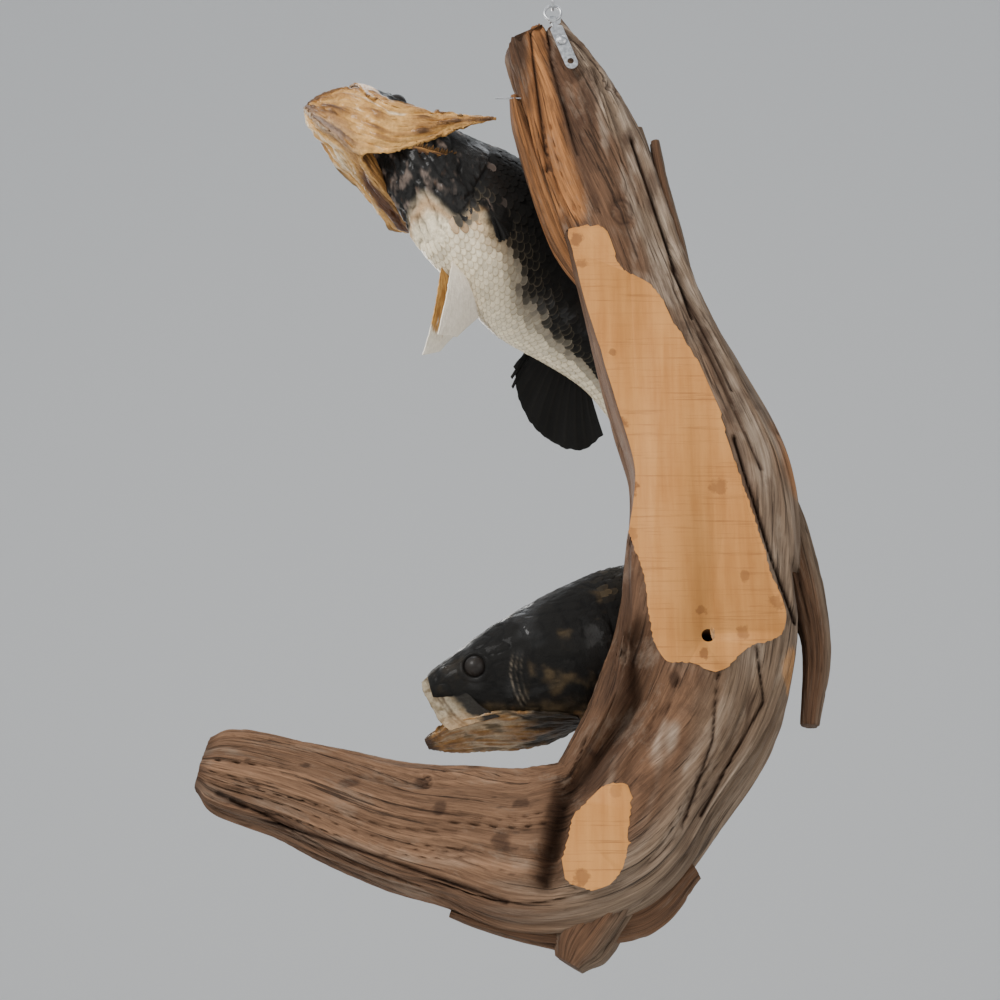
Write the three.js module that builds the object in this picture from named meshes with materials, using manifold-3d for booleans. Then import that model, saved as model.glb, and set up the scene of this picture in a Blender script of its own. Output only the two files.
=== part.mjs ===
// Two dried largemouth bass fixed to a hanging piece of driftwood. Millimetres, +Z up.
// The wood's sawn back lies near the plane y = 0, and the origin is the top of the ceiling plate.
import * as THREE from 'three';
import { mergeVertices } from 'three/addons/utils/BufferGeometryUtils.js';
import Module from 'manifold-3d';

const wasm = await Module();
wasm.setup();

const gap = 0.35; // clearance between pieces that touch
const deg = Math.PI / 180;

// ---- driving dimensions ----

const firstBass = {
  length: 510, // snout to tail tip
  place: [-67.3, 78.5, -238.5], // body axis above the pelvic fins
  turn: [32.5, 24.1, 0.3], // yaw, pitch and roll of the body there, in degrees
  bend: {
    headYaw: 38, rearYaw: 16, tailYaw: -15, rearPitch: 15, headRoll: 37, rearRoll: 53, headPitch: -30,
  },
  // Edges of the dropped jaw and the flared gill covers, from the chin to the rear tip: x, y, z by length.
  jawEdge: {
    left: [[0.03, -0.014, -0.13], [0.028, -0.034, -0.084], [0.044, -0.055, -0.052], [0.118, -0.077, -0.05],
      [0.158, -0.095, -0.007], [0.193, -0.11, 0.028], [0.227, -0.12, 0.066]],
    right: [[0.036, 0.014, -0.132], [0.071, 0.032, -0.12], [0.099, 0.06, -0.083], [0.134, 0.085, -0.04],
      [0.18, 0.104, -0.036], [0.218, 0.12, -0.03], [0.269, 0.13, -0.009]],
  },
  throatEdge: {
    left: [[0.033, 0, -0.136], [0.09, 0, -0.152], [0.139, 0, -0.128], [0.168, -0.03, -0.092],
      [0.192, -0.07, -0.042], [0.208, -0.1, 0.01], [0.227, -0.12, 0.06]],
    right: [[0.033, 0, -0.136], [0.09, 0, -0.152], [0.139, 0, -0.128], [0.161, 0.03, -0.085],
      [0.195, 0.07, -0.05], [0.228, 0.102, -0.032], [0.269, 0.13, -0.014]],
  },
  pelvic: {
    left: [[0.309, -0.018, -0.125], [0.344, -0.035, -0.272], [0.414, -0.03, -0.168]],
    right: [[0.305, 0.012, -0.125], [0.361, 0.02, -0.281], [0.418, 0.02, -0.18]],
  },
};
const secondBass = {
  length: 510,
  place: [41.5, 95.3, -627.9],
  turn: [29, -13, 17],
  bend: {
    headYaw: 29, rearYaw: 30, tailYaw: 15, rearPitch: 6, headRoll: 3, rearRoll: 0, headPitch: 13,
  },
  jawEdge: {
    left: [[-0.012, -0.012, -0.076], [0.013, -0.04, -0.062], [0.076, -0.058, -0.07], [0.135, -0.072, -0.05],
      [0.18, -0.082, -0.03], [0.23, -0.09, -0.012], [0.285, -0.094, 0.004]],
    right: [[-0.012, 0.012, -0.076], [0.013, 0.04, -0.062], [0.076, 0.058, -0.07], [0.135, 0.072, -0.05],
      [0.18, 0.082, -0.03], [0.23, 0.09, -0.012], [0.285, 0.094, 0.004]],
  },
  throatEdge: {
    left: [[-0.014, 0, -0.086], [0.05, 0, -0.104], [0.133, 0, -0.124], [0.17, -0.03, -0.12],
      [0.21, -0.058, -0.09], [0.25, -0.08, -0.05], [0.285, -0.092, -0.01]],
    right: [[-0.014, 0, -0.086], [0.05, 0, -0.104], [0.133, 0, -0.124], [0.17, 0.03, -0.12],
      [0.21, 0.058, -0.09], [0.25, 0.08, -0.05], [0.285, 0.092, -0.01]],
  },
  pelvic: {
    left: [[0.309, -0.018, -0.125], [0.35, -0.04, -0.22], [0.42, -0.034, -0.16]],
    right: [[0.309, 0.018, -0.125], [0.35, 0.04, -0.22], [0.42, 0.034, -0.16]],
  },
};

// Profiles of a bass, in parts of its length: distance from the snout, then the value.
const backLine = [[0, 0.014], [0.02, 0.028], [0.05, 0.04], [0.1, 0.06], [0.2, 0.092], [0.3, 0.12],
  [0.36, 0.128], [0.45, 0.122], [0.55, 0.1], [0.65, 0.074], [0.72, 0.058], [0.78, 0.052], [0.84, 0.057]];
const bellyLine = [[0, 0.012], [0.05, 0.052], [0.1, 0.078], [0.2, 0.112], [0.3, 0.133], [0.4, 0.145],
  [0.5, 0.138], [0.58, 0.115], [0.7, 0.06], [0.77, 0.05], [0.84, 0.055]];
const coreLine = [[0, 0.014], [0.02, 0.026], [0.06, 0.04], [0.12, 0.056], [0.17, 0.082], [0.22, 0.104],
  [0.28, 0.1285]];
const halfWidth = [[0, 0.02], [0.015, 0.034], [0.04, 0.044], [0.06, 0.049], [0.1, 0.056], [0.2, 0.074],
  [0.27, 0.08], [0.35, 0.08], [0.45, 0.073], [0.55, 0.058], [0.65, 0.04], [0.72, 0.028], [0.78, 0.02],
  [0.84, 0.011]];
const roundness = 0.92; // exponent of the body's cross-section; 1 is an ellipse
const headEnd = 0.28;
const trunkEnd = 0.62;
const bodyEnd = 0.84;
const eyeAt = { x: 0.088, y: 0.0415, z: 0.024, radius: 0.0178 };
const jawShare = 0.46; // the part of the jaw and gill edges that belongs to the jaw

const fins = {
  spiny: {
    from: 0.33,
    to: 0.505,
    sweep: 0.4,
    height: (v) => 0.062 * Math.sin(Math.PI * (0.12 + 0.83 * v)) ** 0.7,
  },
  soft: {
    from: 0.52,
    to: 0.67,
    sweep: 0.5,
    height: (v) => 0.098 * Math.sin(Math.PI * (0.22 + 0.62 * v)) ** 0.8,
  },
  anal: {
    from: 0.59,
    to: 0.7,
    tips: [[0.6, -0.136], [0.645, -0.158], [0.69, -0.169], [0.735, -0.167], [0.77, -0.15], [0.79, -0.112],
      [0.768, -0.07]],
  },
  caudal: { from: 0.82, length: 0.155, corner: 0.028, root: 0.046, spread: 0.078 },
  pectoral: { x: 0.292, y: 0.059, z: -0.04, length: 0.11, lean: 22, spread: 34, splay: 14 },
};
const wave = 0.0012; // sideways ripple of the fins, in lengths

// Stations of the wood's centre line: x, z, half width, y of the centre, half depth.
const woodStations = [
  [-15, -105, 28, 30, 30], [10, -155, 39, 33, 34], [30, -220, 46, 34, 37], [55, -300, 45, 34, 42],
  [75, -365, 48, 34, 44], [100, -440, 56, 34, 45], [120, -505, 64, 35, 46], [120, -570, 68, 36, 46],
  [115, -640, 70, 38, 46], [100, -690, 70, 42, 42], [70, -740, 64, 42, 42], [35, -785, 62, 42, 44],
  [-20, -800, 60, 42, 38], [-75, -790, 52, 40, 34], [-125, -780, 46, 38, 31], [-195, -755, 38, 36, 28],
  [-250, -740, 32, 34, 24], [-270, -735, 20, 34, 15]];
const slabStations = [[166, -505, 14, 40, 15], [180, -570, 14, 42, 14], [187, -640, 12, 42, 12],
  [176, -700, 7, 42, 8]];
const flangeStations = [[0, -842, 20, 40, 14], [55, -838, 24, 44, 16], [98, -808, 13, 46, 12]];
const lumpStations = [[40, -835, 20, 40, 20], [16, -868, 22, 40, 18], [6, -886, 12, 40, 11]];
const woodSquareness = 0.82; // exponent of the wood's cross-section
const drilledHole = { x: 112, z: -641, radius: 5, depth: 34 };
const wallSide = { width: 900, depth: 200, height: 1200, z: -500 }; // what the saw took off

const strap = { width: 11, thick: 1.5, length: 56, top: -101, lean: 20, hole: 2.8, pitch: 21.5 };
// the top of the strap, rolled round the ring
const strapEye = { bore: 2.05, wall: 1.3, width: 5.6, lift: 0.38, neck: 2.2, shoulder: 8 };
const screw = { shank: 2.2, length: 15, head: 4.6, dome: 2.9, point: 2 };
// a round ring, then longer links
const chain = { wire: 1.2, ring: 7, halfWidth: 6.3, halfLength: 13.67, links: 3 };
const plate = { radius: 24, thick: 3, eye: 6 };
const peg = { radius: 4, from: 30, first: 0.66, second: 0.47 };
const chainNotch = { width: 17, depth: 30, height: 40, lift: 15 }; // room for the lowest links
const backPlane = strap.thick / 2 + gap; // the sawn back of the wood

// ---- helpers ----

function along(table) {
  return (x) => {
    let i = 0;
    while (i < table.length - 2 && x > table[i + 1][0]) i += 1;
    const slope = (k) => {
      const a = table[Math.max(k - 1, 0)];
      const b = table[Math.min(k + 1, table.length - 1)];
      return (b[1] - a[1]) / (b[0] - a[0]);
    };
    const span = table[i + 1][0] - table[i][0];
    const t = THREE.MathUtils.clamp((x - table[i][0]) / span, 0, 1);
    const rise = table[i + 1][1] - table[i][1];
    const cubic = (3 - 2 * t) * t * t * rise;
    const start = t * (1 - t) ** 2 * span * slope(i);
    const end = t * t * (t - 1) * span * slope(i + 1);
    return table[i][1] + cubic + start + end;
  };
}

const ramp = (a, b, x) => THREE.MathUtils.smoothstep(x, a, b);
const power = (value, exponent) => Math.sign(value) * Math.abs(value) ** exponent;

function solidFrom(points, faces) {
  const flat = points.flatMap((p) => [p.x, p.y, p.z]);
  const read = (i) => new THREE.Vector3(flat[3 * i], flat[3 * i + 1], flat[3 * i + 2]);
  const volume = faces.reduce((sum, [a, b, c]) => sum + read(a).dot(read(b).cross(read(c))), 0);
  const turned = volume < 0 ? faces.map(([a, b, c]) => [a, c, b]) : faces;
  const mesh = new wasm.Mesh({
    numProp: 3,
    vertProperties: new Float32Array(flat),
    triVerts: new Uint32Array(turned.flat()),
  });
  return new wasm.Manifold(mesh);
}

// A closed solid through rings of points, with a fan over each end.
function loft(rings) {
  const count = rings[0].length;
  const points = rings.flat();
  const faces = [];
  for (let i = 0; i < rings.length - 1; i += 1) {
    for (let j = 0; j < count; j += 1) {
      const a = i * count + j;
      const b = i * count + (j + 1) % count;
      faces.push([a, b, a + count], [b, b + count, a + count]);
    }
  }
  for (const [row, flip] of [[0, true], [rings.length - 1, false]]) {
    const middle = rings[row].reduce((sum, p) => sum.add(p), new THREE.Vector3()).divideScalar(count);
    const centre = points.push(middle) - 1;
    for (let j = 0; j < count; j += 1) {
      const a = row * count + j;
      const b = row * count + (j + 1) % count;
      faces.push(flip ? [centre, b, a] : [centre, a, b]);
    }
  }
  return solidFrom(points, faces);
}

// A sheet of even thickness: surface(u, v) for u and v from 0 to 1, thickened both ways.
function sheet(surface, rows, columns, thickness) {
  const at = (i, j) => surface(i / rows, j / columns);
  const width = columns + 1;
  const size = (rows + 1) * width;
  const front = [];
  const back = [];
  for (let i = 0; i <= rows; i += 1) {
    for (let j = 0; j <= columns; j += 1) {
      const du = at(Math.min(i + 1, rows), j).sub(at(Math.max(i - 1, 0), j));
      const dv = at(i, Math.min(j + 1, columns)).sub(at(i, Math.max(j - 1, 0)));
      const offset = du.cross(dv).setLength(thickness / 2);
      front.push(at(i, j).add(offset));
      back.push(at(i, j).sub(offset));
    }
  }
  const faces = [];
  for (let i = 0; i < rows; i += 1) {
    for (let j = 0; j < columns; j += 1) {
      const a = i * width + j;
      faces.push([a, a + width, a + 1], [a + 1, a + width, a + width + 1]);
      faces.push([a + size, a + 1 + size, a + width + size]);
      faces.push([a + 1 + size, a + width + 1 + size, a + width + size]);
    }
  }
  const wall = (a, b) => faces.push([a, b, a + size], [b, b + size, a + size]);
  for (let j = 0; j < columns; j += 1) {
    wall(j, j + 1);
    wall(rows * width + j + 1, rows * width + j);
  }
  for (let i = 0; i < rows; i += 1) {
    wall((i + 1) * width, i * width);
    wall(i * width + columns, (i + 1) * width + columns);
  }
  return solidFrom([...front, ...back], faces);
}

function solidOf(geometry) {
  const bare = geometry.clone();
  bare.deleteAttribute('normal');
  bare.deleteAttribute('uv');
  const merged = mergeVertices(bare, 1e-4);
  const mesh = new wasm.Mesh({
    numProp: 3,
    vertProperties: new Float32Array(merged.attributes.position.array),
    triVerts: new Uint32Array(merged.index.array),
  });
  mesh.merge();
  return new wasm.Manifold(mesh);
}

const largest = (solid) => solid.decompose().sort((a, b) => b.volume() - a.volume())[0];
const union = (solids) => solids.reduce((sum, solid) => sum.add(solid));

// ---- wood ----

function woodLoft(stations, rings, sides) {
  const column = (k) => along(stations.map((row, i) => [i, row[k]]));
  const [x, z, width, middle, depth] = [0, 1, 2, 3, 4].map(column);
  const last = stations.length - 1;
  const made = [];
  for (let i = 0; i <= rings; i += 1) {
    const s = (i / rings) * last;
    const step = 0.05;
    const way = new THREE.Vector2(x(s + step) - x(s - step), z(s + step) - z(s - step)).normalize();
    const ring = [];
    for (let j = 0; j < sides; j += 1) {
      const angle = (j / sides) * 2 * Math.PI;
      const ridge = 1 + 0.035 * Math.sin(3 * angle + 1.3 * s) + 0.025 * Math.sin(7 * angle - 0.8 * s);
      const across = width(s) * ridge * power(Math.cos(angle), woodSquareness);
      const deep = depth(s) * ridge * power(Math.sin(angle), woodSquareness);
      ring.push(new THREE.Vector3(x(s) - way.y * across, middle(s) + deep, z(s) + way.x * across));
    }
    made.push(ring);
  }
  return loft(made);
}

function makeWood() {
  const trunk = woodLoft(woodStations, 38, 16);
  const slab = woodLoft(slabStations, 7, 8);
  const flange = woodLoft(flangeStations, 5, 8);
  const lump = woodLoft(lumpStations, 5, 8);
  const { width, depth, height, z } = wallSide;
  const sawn = new THREE.BoxGeometry(width, depth, height).translate(0, backPlane - depth / 2, z);
  const hole = new THREE.CylinderGeometry(drilledHole.radius, drilledHole.radius, drilledHole.depth * 2, 16);
  hole.translate(drilledHole.x, 0, drilledHole.z);
  const body = union([trunk, slab, flange, lump]);
  return body.subtract(solidOf(sawn)).subtract(solidOf(hole));
}

// ---- fish ----

// Carries points of a straight fish into its bent pose. x runs to the tail, z to the back.
function poser(fish) {
  const { bend, length } = fish;
  const start = -0.05;
  const step = 0.02;
  const count = 56;
  const base = new THREE.Quaternion().setFromEuler(
    new THREE.Euler(fish.turn[2] * deg, fish.turn[1] * deg, fish.turn[0] * deg, 'ZYX'));
  const turns = [];
  for (let i = 0; i < count; i += 1) {
    const x = start + i * step;
    const front = 1 - ramp(0.05, 0.3, x);
    const neck = 1 - ramp(0.08, 0.32, x);
    const tail = bend.tailYaw * ramp(0.6, 0.95, x);
    const yaw = -bend.headYaw * front + bend.rearYaw * ramp(0.3, 0.62, x) + tail;
    const pitch = bend.rearPitch * ramp(0.3, 0.7, x) - bend.headPitch * neck;
    const roll = -bend.headRoll * neck + bend.rearRoll * ramp(0.3, 0.65, x);
    const twist = new THREE.Euler(roll * deg, pitch * deg, yaw * deg, 'ZYX');
    const local = new THREE.Quaternion().setFromEuler(twist);
    turns.push(base.clone().multiply(local));
  }
  const tailward = turns.map((turn) => new THREE.Vector3(1, 0, 0).applyQuaternion(turn));
  const axis = [new THREE.Vector3()];
  for (let i = 1; i < count; i += 1) {
    const mean = tailward[i].clone().add(tailward[i - 1]).multiplyScalar(0.5 * step * length);
    axis.push(axis[i - 1].clone().add(mean));
  }
  const anchor = Math.round((0.3 - start) / step);
  const shift = new THREE.Vector3(...fish.place).sub(axis[anchor]);
  return (x, y, z) => {
    const f = THREE.MathUtils.clamp((x - start) / step, 0, count - 1.001);
    const i = Math.floor(f);
    const turn = turns[i].clone().slerp(turns[i + 1], f - i);
    const centre = axis[i].clone().lerp(axis[i + 1], f - i).add(shift);
    return centre.add(new THREE.Vector3(0, y * length, z * length).applyQuaternion(turn));
  };
}

const back = along(backLine);
const belly = along(bellyLine);
const core = along(coreLine);
const half = along(halfWidth);

// A point on the closed surface of the fish at an angle up from its right side.
function skinPoint(x, angle, grow = 0, under = belly) {
  const rise = Math.sin(angle) > 0 ? back(x) : under(x);
  const y = (half(x) + grow) * power(Math.cos(angle), roundness);
  return [y, (rise + grow) * power(Math.sin(angle), roundness)];
}

function bodyLength(pose, from, to, rings, sides, grow = 0) {
  const made = [];
  for (let i = 0; i <= rings; i += 1) {
    const x = from + (to - from) * (i / rings);
    const under = x < headEnd ? core : belly;
    const ring = [];
    for (let j = 0; j < sides; j += 1) {
      const [y, z] = skinPoint(x, (j / sides) * 2 * Math.PI, grow, under);
      ring.push(pose(x, y, z));
    }
    made.push(ring);
  }
  return loft(made);
}

const curveThrough = (points) => new THREE.CatmullRomCurve3(points.map((p) => new THREE.Vector3(...p)));
const middlePlane = (points) => curveThrough(points.map(([x, z]) => [x, 0, z]));

// A sheet between two curves of a straight fish, bowed out by swell where it is wide.
function posedStrip(pose, edges, [from, to], swell, rows, columns, thickness) {
  return sheet((u, v) => {
    const t = from + (to - from) * u;
    const place = v * (edges.length - 1);
    const k = Math.min(Math.floor(place), edges.length - 2);
    const point = edges[k].getPoint(t).lerp(edges[k + 1].getPoint(t), place - k);
    const width = edges[k].getPoint(t).distanceTo(edges[k + 1].getPoint(t));
    point.z -= swell * width * Math.sin(Math.PI * (place - k));
    return pose(point.x, point.y, point.z);
  }, rows, columns, thickness);
}

function makeJaw(fish, pose) {
  const { jawEdge, throatEdge } = fish;
  const edges = [jawEdge.left, throatEdge.left, jawEdge.right].map(curveThrough);
  return posedStrip(pose, edges, [0.03, jawShare - 0.005], 0.16, 7, 10, 4);
}

function makeGillCover(fish, pose, name) {
  const edges = [fish.jawEdge[name], fish.throatEdge[name]].map(curveThrough);
  return posedStrip(pose, edges, [jawShare + 0.005, 0.97], 0.12, 7, 5, 2.6);
}

function makePelvic(fish, pose, name) {
  const [root, front, rear] = fish.pelvic[name];
  const heel = [root[0] + 0.018, root[1], root[2] - 0.004];
  const middle = front.map((value, k) => (value + rear[k]) / 2 + [0.012, 0, -0.012][k]);
  const rays = [[root, front], [root, middle], [heel, rear]].map(curveThrough);
  return posedStrip(pose, rays, [0, 1], 0, 4, 6, 1.4);
}

function makeAnal(pose) {
  const { from, to, tips } = fins.anal;
  const edge = middlePlane(tips);
  return sheet((u, v) => {
    const x = from + (to - from) * v;
    const root = new THREE.Vector3(x, 0, -belly(x) * 0.8);
    const point = root.lerp(edge.getPoint(v), u);
    return pose(point.x, wave * Math.sin(24 * v), point.z);
  }, 4, 8, 1.6);
}

// A fin on the back, whose rays lean back by sweep.
function backFin(pose, { from, to, sweep, height }) {
  return sheet((u, v) => {
    const x = from + (to - from) * v;
    const root = back(x);
    const rise = height(v);
    const z = root * 0.8 + u * (rise + root * 0.2);
    return pose(x + sweep * u * rise, wave * Math.sin(24 * v), z);
  }, 3, 7, 1.6);
}

function makeCaudal(pose) {
  const { from, length, corner, root, spread } = fins.caudal;
  return sheet((u, v) => {
    const fan = 2 * v - 1;
    const reach = length + corner * Math.abs(fan) ** 1.5;
    return pose(from + u * reach, wave * Math.sin(20 * v), fan * (root + spread * u));
  }, 3, 9, 1.6);
}

// A pectoral fin: a fan of rays from a base on the flank.
function makePectoral(pose, side) {
  const { x, y, z, length, lean, spread, splay } = fins.pectoral;
  const out = splay * deg;
  return sheet((u, v) => {
    const ray = (lean + spread * (v - 0.5)) * deg;
    const reach = length * (0.12 + u * (1 - 0.35 * v * v));
    const tailward = x + reach * Math.cos(ray) * Math.cos(out) + 0.018 * v;
    const outward = y + reach * Math.cos(ray) * Math.sin(out);
    return pose(tailward, side * outward, z - reach * Math.sin(ray) - 0.006 * v);
  }, 3, 5, 1.4);
}

function fishPieces(fish, detail) {
  const pose = poser(fish);
  const rings = (from, to) => Math.max(4, Math.round((to - from) * detail));
  const length = (from, to, grow) => bodyLength(pose, from, to, rings(from, to), 16, grow);
  const seam = gap / fish.length / 2;
  const pieces = {
    head: length(0.002, headEnd - seam),
    trunk: length(headEnd + seam, trunkEnd - seam),
    tail: length(trunkEnd + seam, bodyEnd),
    lower_jaw: makeJaw(fish, pose),
    dorsal_spiny: backFin(pose, fins.spiny),
    dorsal_soft: backFin(pose, fins.soft),
    anal: makeAnal(pose),
    caudal: makeCaudal(pose),
  };
  for (const [name, side] of [['left', -1], ['right', 1]]) {
    pieces[`gill_cover_${name}`] = makeGillCover(fish, pose, name);
    pieces[`pectoral_${name}`] = makePectoral(pose, side);
    pieces[`pelvic_${name}`] = makePelvic(fish, pose, name);
    const centre = pose(eyeAt.x, side * eyeAt.y, eyeAt.z);
    const ball = (grow) => new THREE.SphereGeometry(eyeAt.radius * fish.length + grow, 12, 7);
    const eye = (grow) => solidOf(ball(grow).translate(centre.x, centre.y, centre.z));
    pieces[`eye_${name}`] = eye(0);
    pieces[`socket_${name}`] = eye(gap);
  }
  return { pieces, grown: length(0.0, bodyEnd, gap / fish.length), pose };
}

function makeFirstBass() {
  const { pieces, grown, pose } = fishPieces(firstBass, 36);
  const sockets = union([pieces.socket_left, pieces.socket_right]);
  const made = { head: pieces.head.subtract(sockets), trunk: pieces.trunk, tail: pieces.tail };
  made.eye_left = pieces.eye_left;
  made.eye_right = pieces.eye_right;
  const thin = ['lower_jaw', 'gill_cover_left', 'gill_cover_right', 'dorsal_spiny', 'dorsal_soft', 'anal',
    'caudal', 'pectoral_left', 'pectoral_right', 'pelvic_left', 'pelvic_right'];
  let taken = grown;
  for (const name of thin) {
    made[name] = largest(pieces[name].subtract(taken));
    taken = taken.add(made[name]);
  }
  return { made, grown, taken, pose };
}

function makeSecondBass() {
  const { pieces, grown, pose } = fishPieces(secondBass, 24);
  const whole = bodyLength(pose, 0.002, bodyEnd, 17, 12);
  const extras = Object.keys(pieces).filter((name) => !/^(head|trunk|tail|socket_.*)$/.test(name));
  return { solid: largest(union([whole, ...extras.map((name) => pieces[name])])), grown, pose };
}

// ---- hanger ----

const wireSides = 6;

// A closed upright oval of wire about its centre, turned about z by bearing, in degrees from x.
function wireOval(z, bearing, halfWidth, halfLength) {
  const sideways = new THREE.Vector3(Math.cos(bearing * deg), Math.sin(bearing * deg), 0);
  const flat = new THREE.Vector3(-sideways.y, sideways.x, 0);
  const straight = halfLength - halfWidth;
  const steps = 6;
  const points = [];
  for (const [shift, begin] of [[straight, 0], [-straight, Math.PI]]) {
    for (let i = 0; i <= steps; i += 1) {
      const a = begin + (i / steps) * Math.PI;
      const side = halfWidth * Math.cos(a);
      const height = z + shift + halfWidth * Math.sin(a);
      if (straight > 0 || i < steps) points.push(sideways.clone().multiplyScalar(side).setZ(height));
    }
  }
  const rings = points.map((point, i) => {
    const before = points[(i + points.length - 1) % points.length];
    const after = points[(i + 1) % points.length];
    const way = after.clone().sub(before).normalize();
    const third = way.clone().cross(flat);
    return Array.from({ length: wireSides }, (_, k) => {
      const a = (k / wireSides) * 2 * Math.PI;
      const out = flat.clone().multiplyScalar(chain.wire * Math.cos(a));
      return point.clone().add(out).addScaledVector(third, chain.wire * Math.sin(a));
    });
  });
  const faces = [];
  for (let i = 0; i < rings.length; i += 1) {
    for (let j = 0; j < wireSides; j += 1) {
      const next = (i + 1) % rings.length;
      const [a, b] = [i * wireSides + j, i * wireSides + (j + 1) % wireSides];
      const [c, d] = [next * wireSides + j, next * wireSides + (j + 1) % wireSides];
      faces.push([a, b, c], [b, d, c]);
    }
  }
  return solidFrom(rings.flat(), faces);
}

const linkPitch = 2 * (chain.halfLength - chain.wire) - gap;
const firstLink = strap.top + 2 * (chain.ring - chain.wire) - gap + chain.halfLength;

// The lowest ring lies flat to the wall and each piece above it is turned by a quarter.
function makeLinks() {
  const ring = wireOval(strap.top + chain.ring, 0, chain.ring, chain.ring);
  const links = Array.from({ length: chain.links }, (_, k) => (
    wireOval(firstLink + k * linkPitch, 90 * ((k + 1) % 2), chain.halfWidth, chain.halfLength)));
  return [ring, ...links];
}

// A point on the strap, measured down from its eye.
function downStrap(distance) {
  const lean = strap.lean * deg;
  return [distance * Math.sin(lean), strap.top - distance * Math.cos(lean)];
}

function makeStrap() {
  const { width, length, thick, hole, pitch } = strap;
  const { bore, wall, neck, shoulder, lift } = strapEye;
  const r = width / 2;
  const shape = new THREE.Shape();
  shape.moveTo(neck, -bore);
  shape.lineTo(-neck, -bore);
  shape.lineTo(-neck, neck - shoulder);
  shape.lineTo(-r, -shoulder);
  shape.absarc(0, width - length, r, Math.PI, 2 * Math.PI, false);
  shape.lineTo(r, -shoulder);
  shape.lineTo(neck, neck - shoulder);
  for (const k of [1, 2]) {
    const cut = new THREE.Path();
    cut.absarc(0, -k * pitch, hole, 0, 2 * Math.PI, true);
    shape.holes.push(cut);
  }
  const geometry = new THREE.ExtrudeGeometry(shape, { depth: thick, bevelEnabled: false, curveSegments: 7 });
  geometry.translate(0, 0, -thick / 2).rotateX(Math.PI / 2).rotateY(-strap.lean * deg);
  const roll = (radius, long) => solidOf(new THREE.CylinderGeometry(radius, radius, long, 16)
    .rotateZ(Math.PI / 2).translate(0, 0, strap.top + lift));
  const flat = solidOf(geometry.translate(0, 0, strap.top));
  return flat.add(roll(bore + wall, strapEye.width)).subtract(roll(bore, strapEye.width + 2 * neck));
}

function lathed(outline, segments) {
  return new THREE.LatheGeometry(outline.map(([r, h]) => new THREE.Vector2(r, h)), segments);
}

function makeScrew(grow = 0) {
  const { shank, length, head, dome, point } = screw;
  const seat = -strap.thick / 2 - gap + grow;
  const outline = [[0, -dome], [head * 0.56, -dome * 0.86], [head * 0.9, -dome * 0.48], [head, 0],
    [shank + grow, 0], [shank + grow, length + grow - point], [0, length + grow]];
  const [x, z] = downStrap(strap.pitch);
  return solidOf(lathed(outline, 14).translate(x, seat, z));
}

function makePlate() {
  const { radius, thick, eye } = plate;
  const disc = lathed([[0, -thick], [radius - 1, -thick], [radius, 1 - thick], [radius, 0], [0, 0]], 28);
  const top = firstLink + chain.halfLength + (chain.links - 1) * linkPitch;
  const ring = wireOval(top - 2 * chain.wire - gap + eye, 90 * ((chain.links + 1) % 2), eye, eye);
  return solidOf(disc.rotateX(Math.PI / 2)).add(ring);
}

// A dowel from the wood into a fish's flank.
function makePeg(pose, x, grow = 0) {
  const end = pose(x, 0, 0);
  const length = end.y - peg.from;
  const dowel = new THREE.CylinderGeometry(peg.radius + grow, peg.radius + grow, length + 2 * grow, 16);
  return solidOf(dowel.translate(end.x, peg.from + length / 2, end.z));
}

// ---- assembly ----

const colours = {
  wood: [0x8a6548, 0.9, 0],
  steel: [0xa9abad, 0.42, 0.85],
  dark: [0x2b2620, 0.45, 0],
  flank: [0x3a352b, 0.42, 0],
  dried: [0xc39a5c, 0.55, 0],
  paper: [0xe6ddc6, 0.75, 0],
  eye: [0x14110d, 0.12, 0],
};

const model = new THREE.Group();

function put(name, solid, look) {
  const { vertProperties, triVerts } = solid.getMesh();
  const geometry = new THREE.BufferGeometry();
  geometry.setAttribute('position', new THREE.BufferAttribute(new Float32Array(vertProperties), 3));
  geometry.setIndex(new THREE.BufferAttribute(new Uint32Array(triVerts), 1));
  geometry.computeVertexNormals();
  const [color, roughness, metalness] = colours[look];
  const mesh = new THREE.Mesh(geometry, new THREE.MeshStandardMaterial({ color, roughness, metalness }));
  mesh.name = name;
  model.add(mesh);
}

const first = makeFirstBass();
const second = makeSecondBass();
const looks = {
  head: 'dark', trunk: 'flank', tail: 'flank', eye_left: 'eye', eye_right: 'eye', lower_jaw: 'dried',
  gill_cover_left: 'dried', gill_cover_right: 'dried', pelvic_left: 'paper', pelvic_right: 'paper',
};

const notch = new THREE.BoxGeometry(chainNotch.width, chainNotch.depth, chainNotch.height);
notch.translate(0, 0, strap.top + chainNotch.lift);
const pegs = {
  first_peg: [first.pose, peg.first, first.grown],
  second_peg: [second.pose, peg.second, second.grown],
};
const cutters = [first.taken, second.grown, second.solid, makeScrew(gap), solidOf(notch)];
for (const [pose, x] of Object.values(pegs)) cutters.push(makePeg(pose, x, gap));

put('driftwood', largest(makeWood().subtract(union(cutters))), 'wood');
for (const [name, [pose, x, body]] of Object.entries(pegs)) {
  put(name, largest(makePeg(pose, x).subtract(body)), 'wood');
}
for (const [name, solid] of Object.entries(first.made)) put(`first_${name}`, solid, looks[name] ?? 'dark');
put('second_fish', second.solid, 'dark');
put('hanger_strap', makeStrap(), 'steel');
put('hanger_screw', makeScrew(), 'steel');
makeLinks().forEach((solid, k) => put(`chain_link_${k + 1}`, solid, 'steel'));
put('ceiling_plate', makePlate(), 'steel');

export default model;
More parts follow.
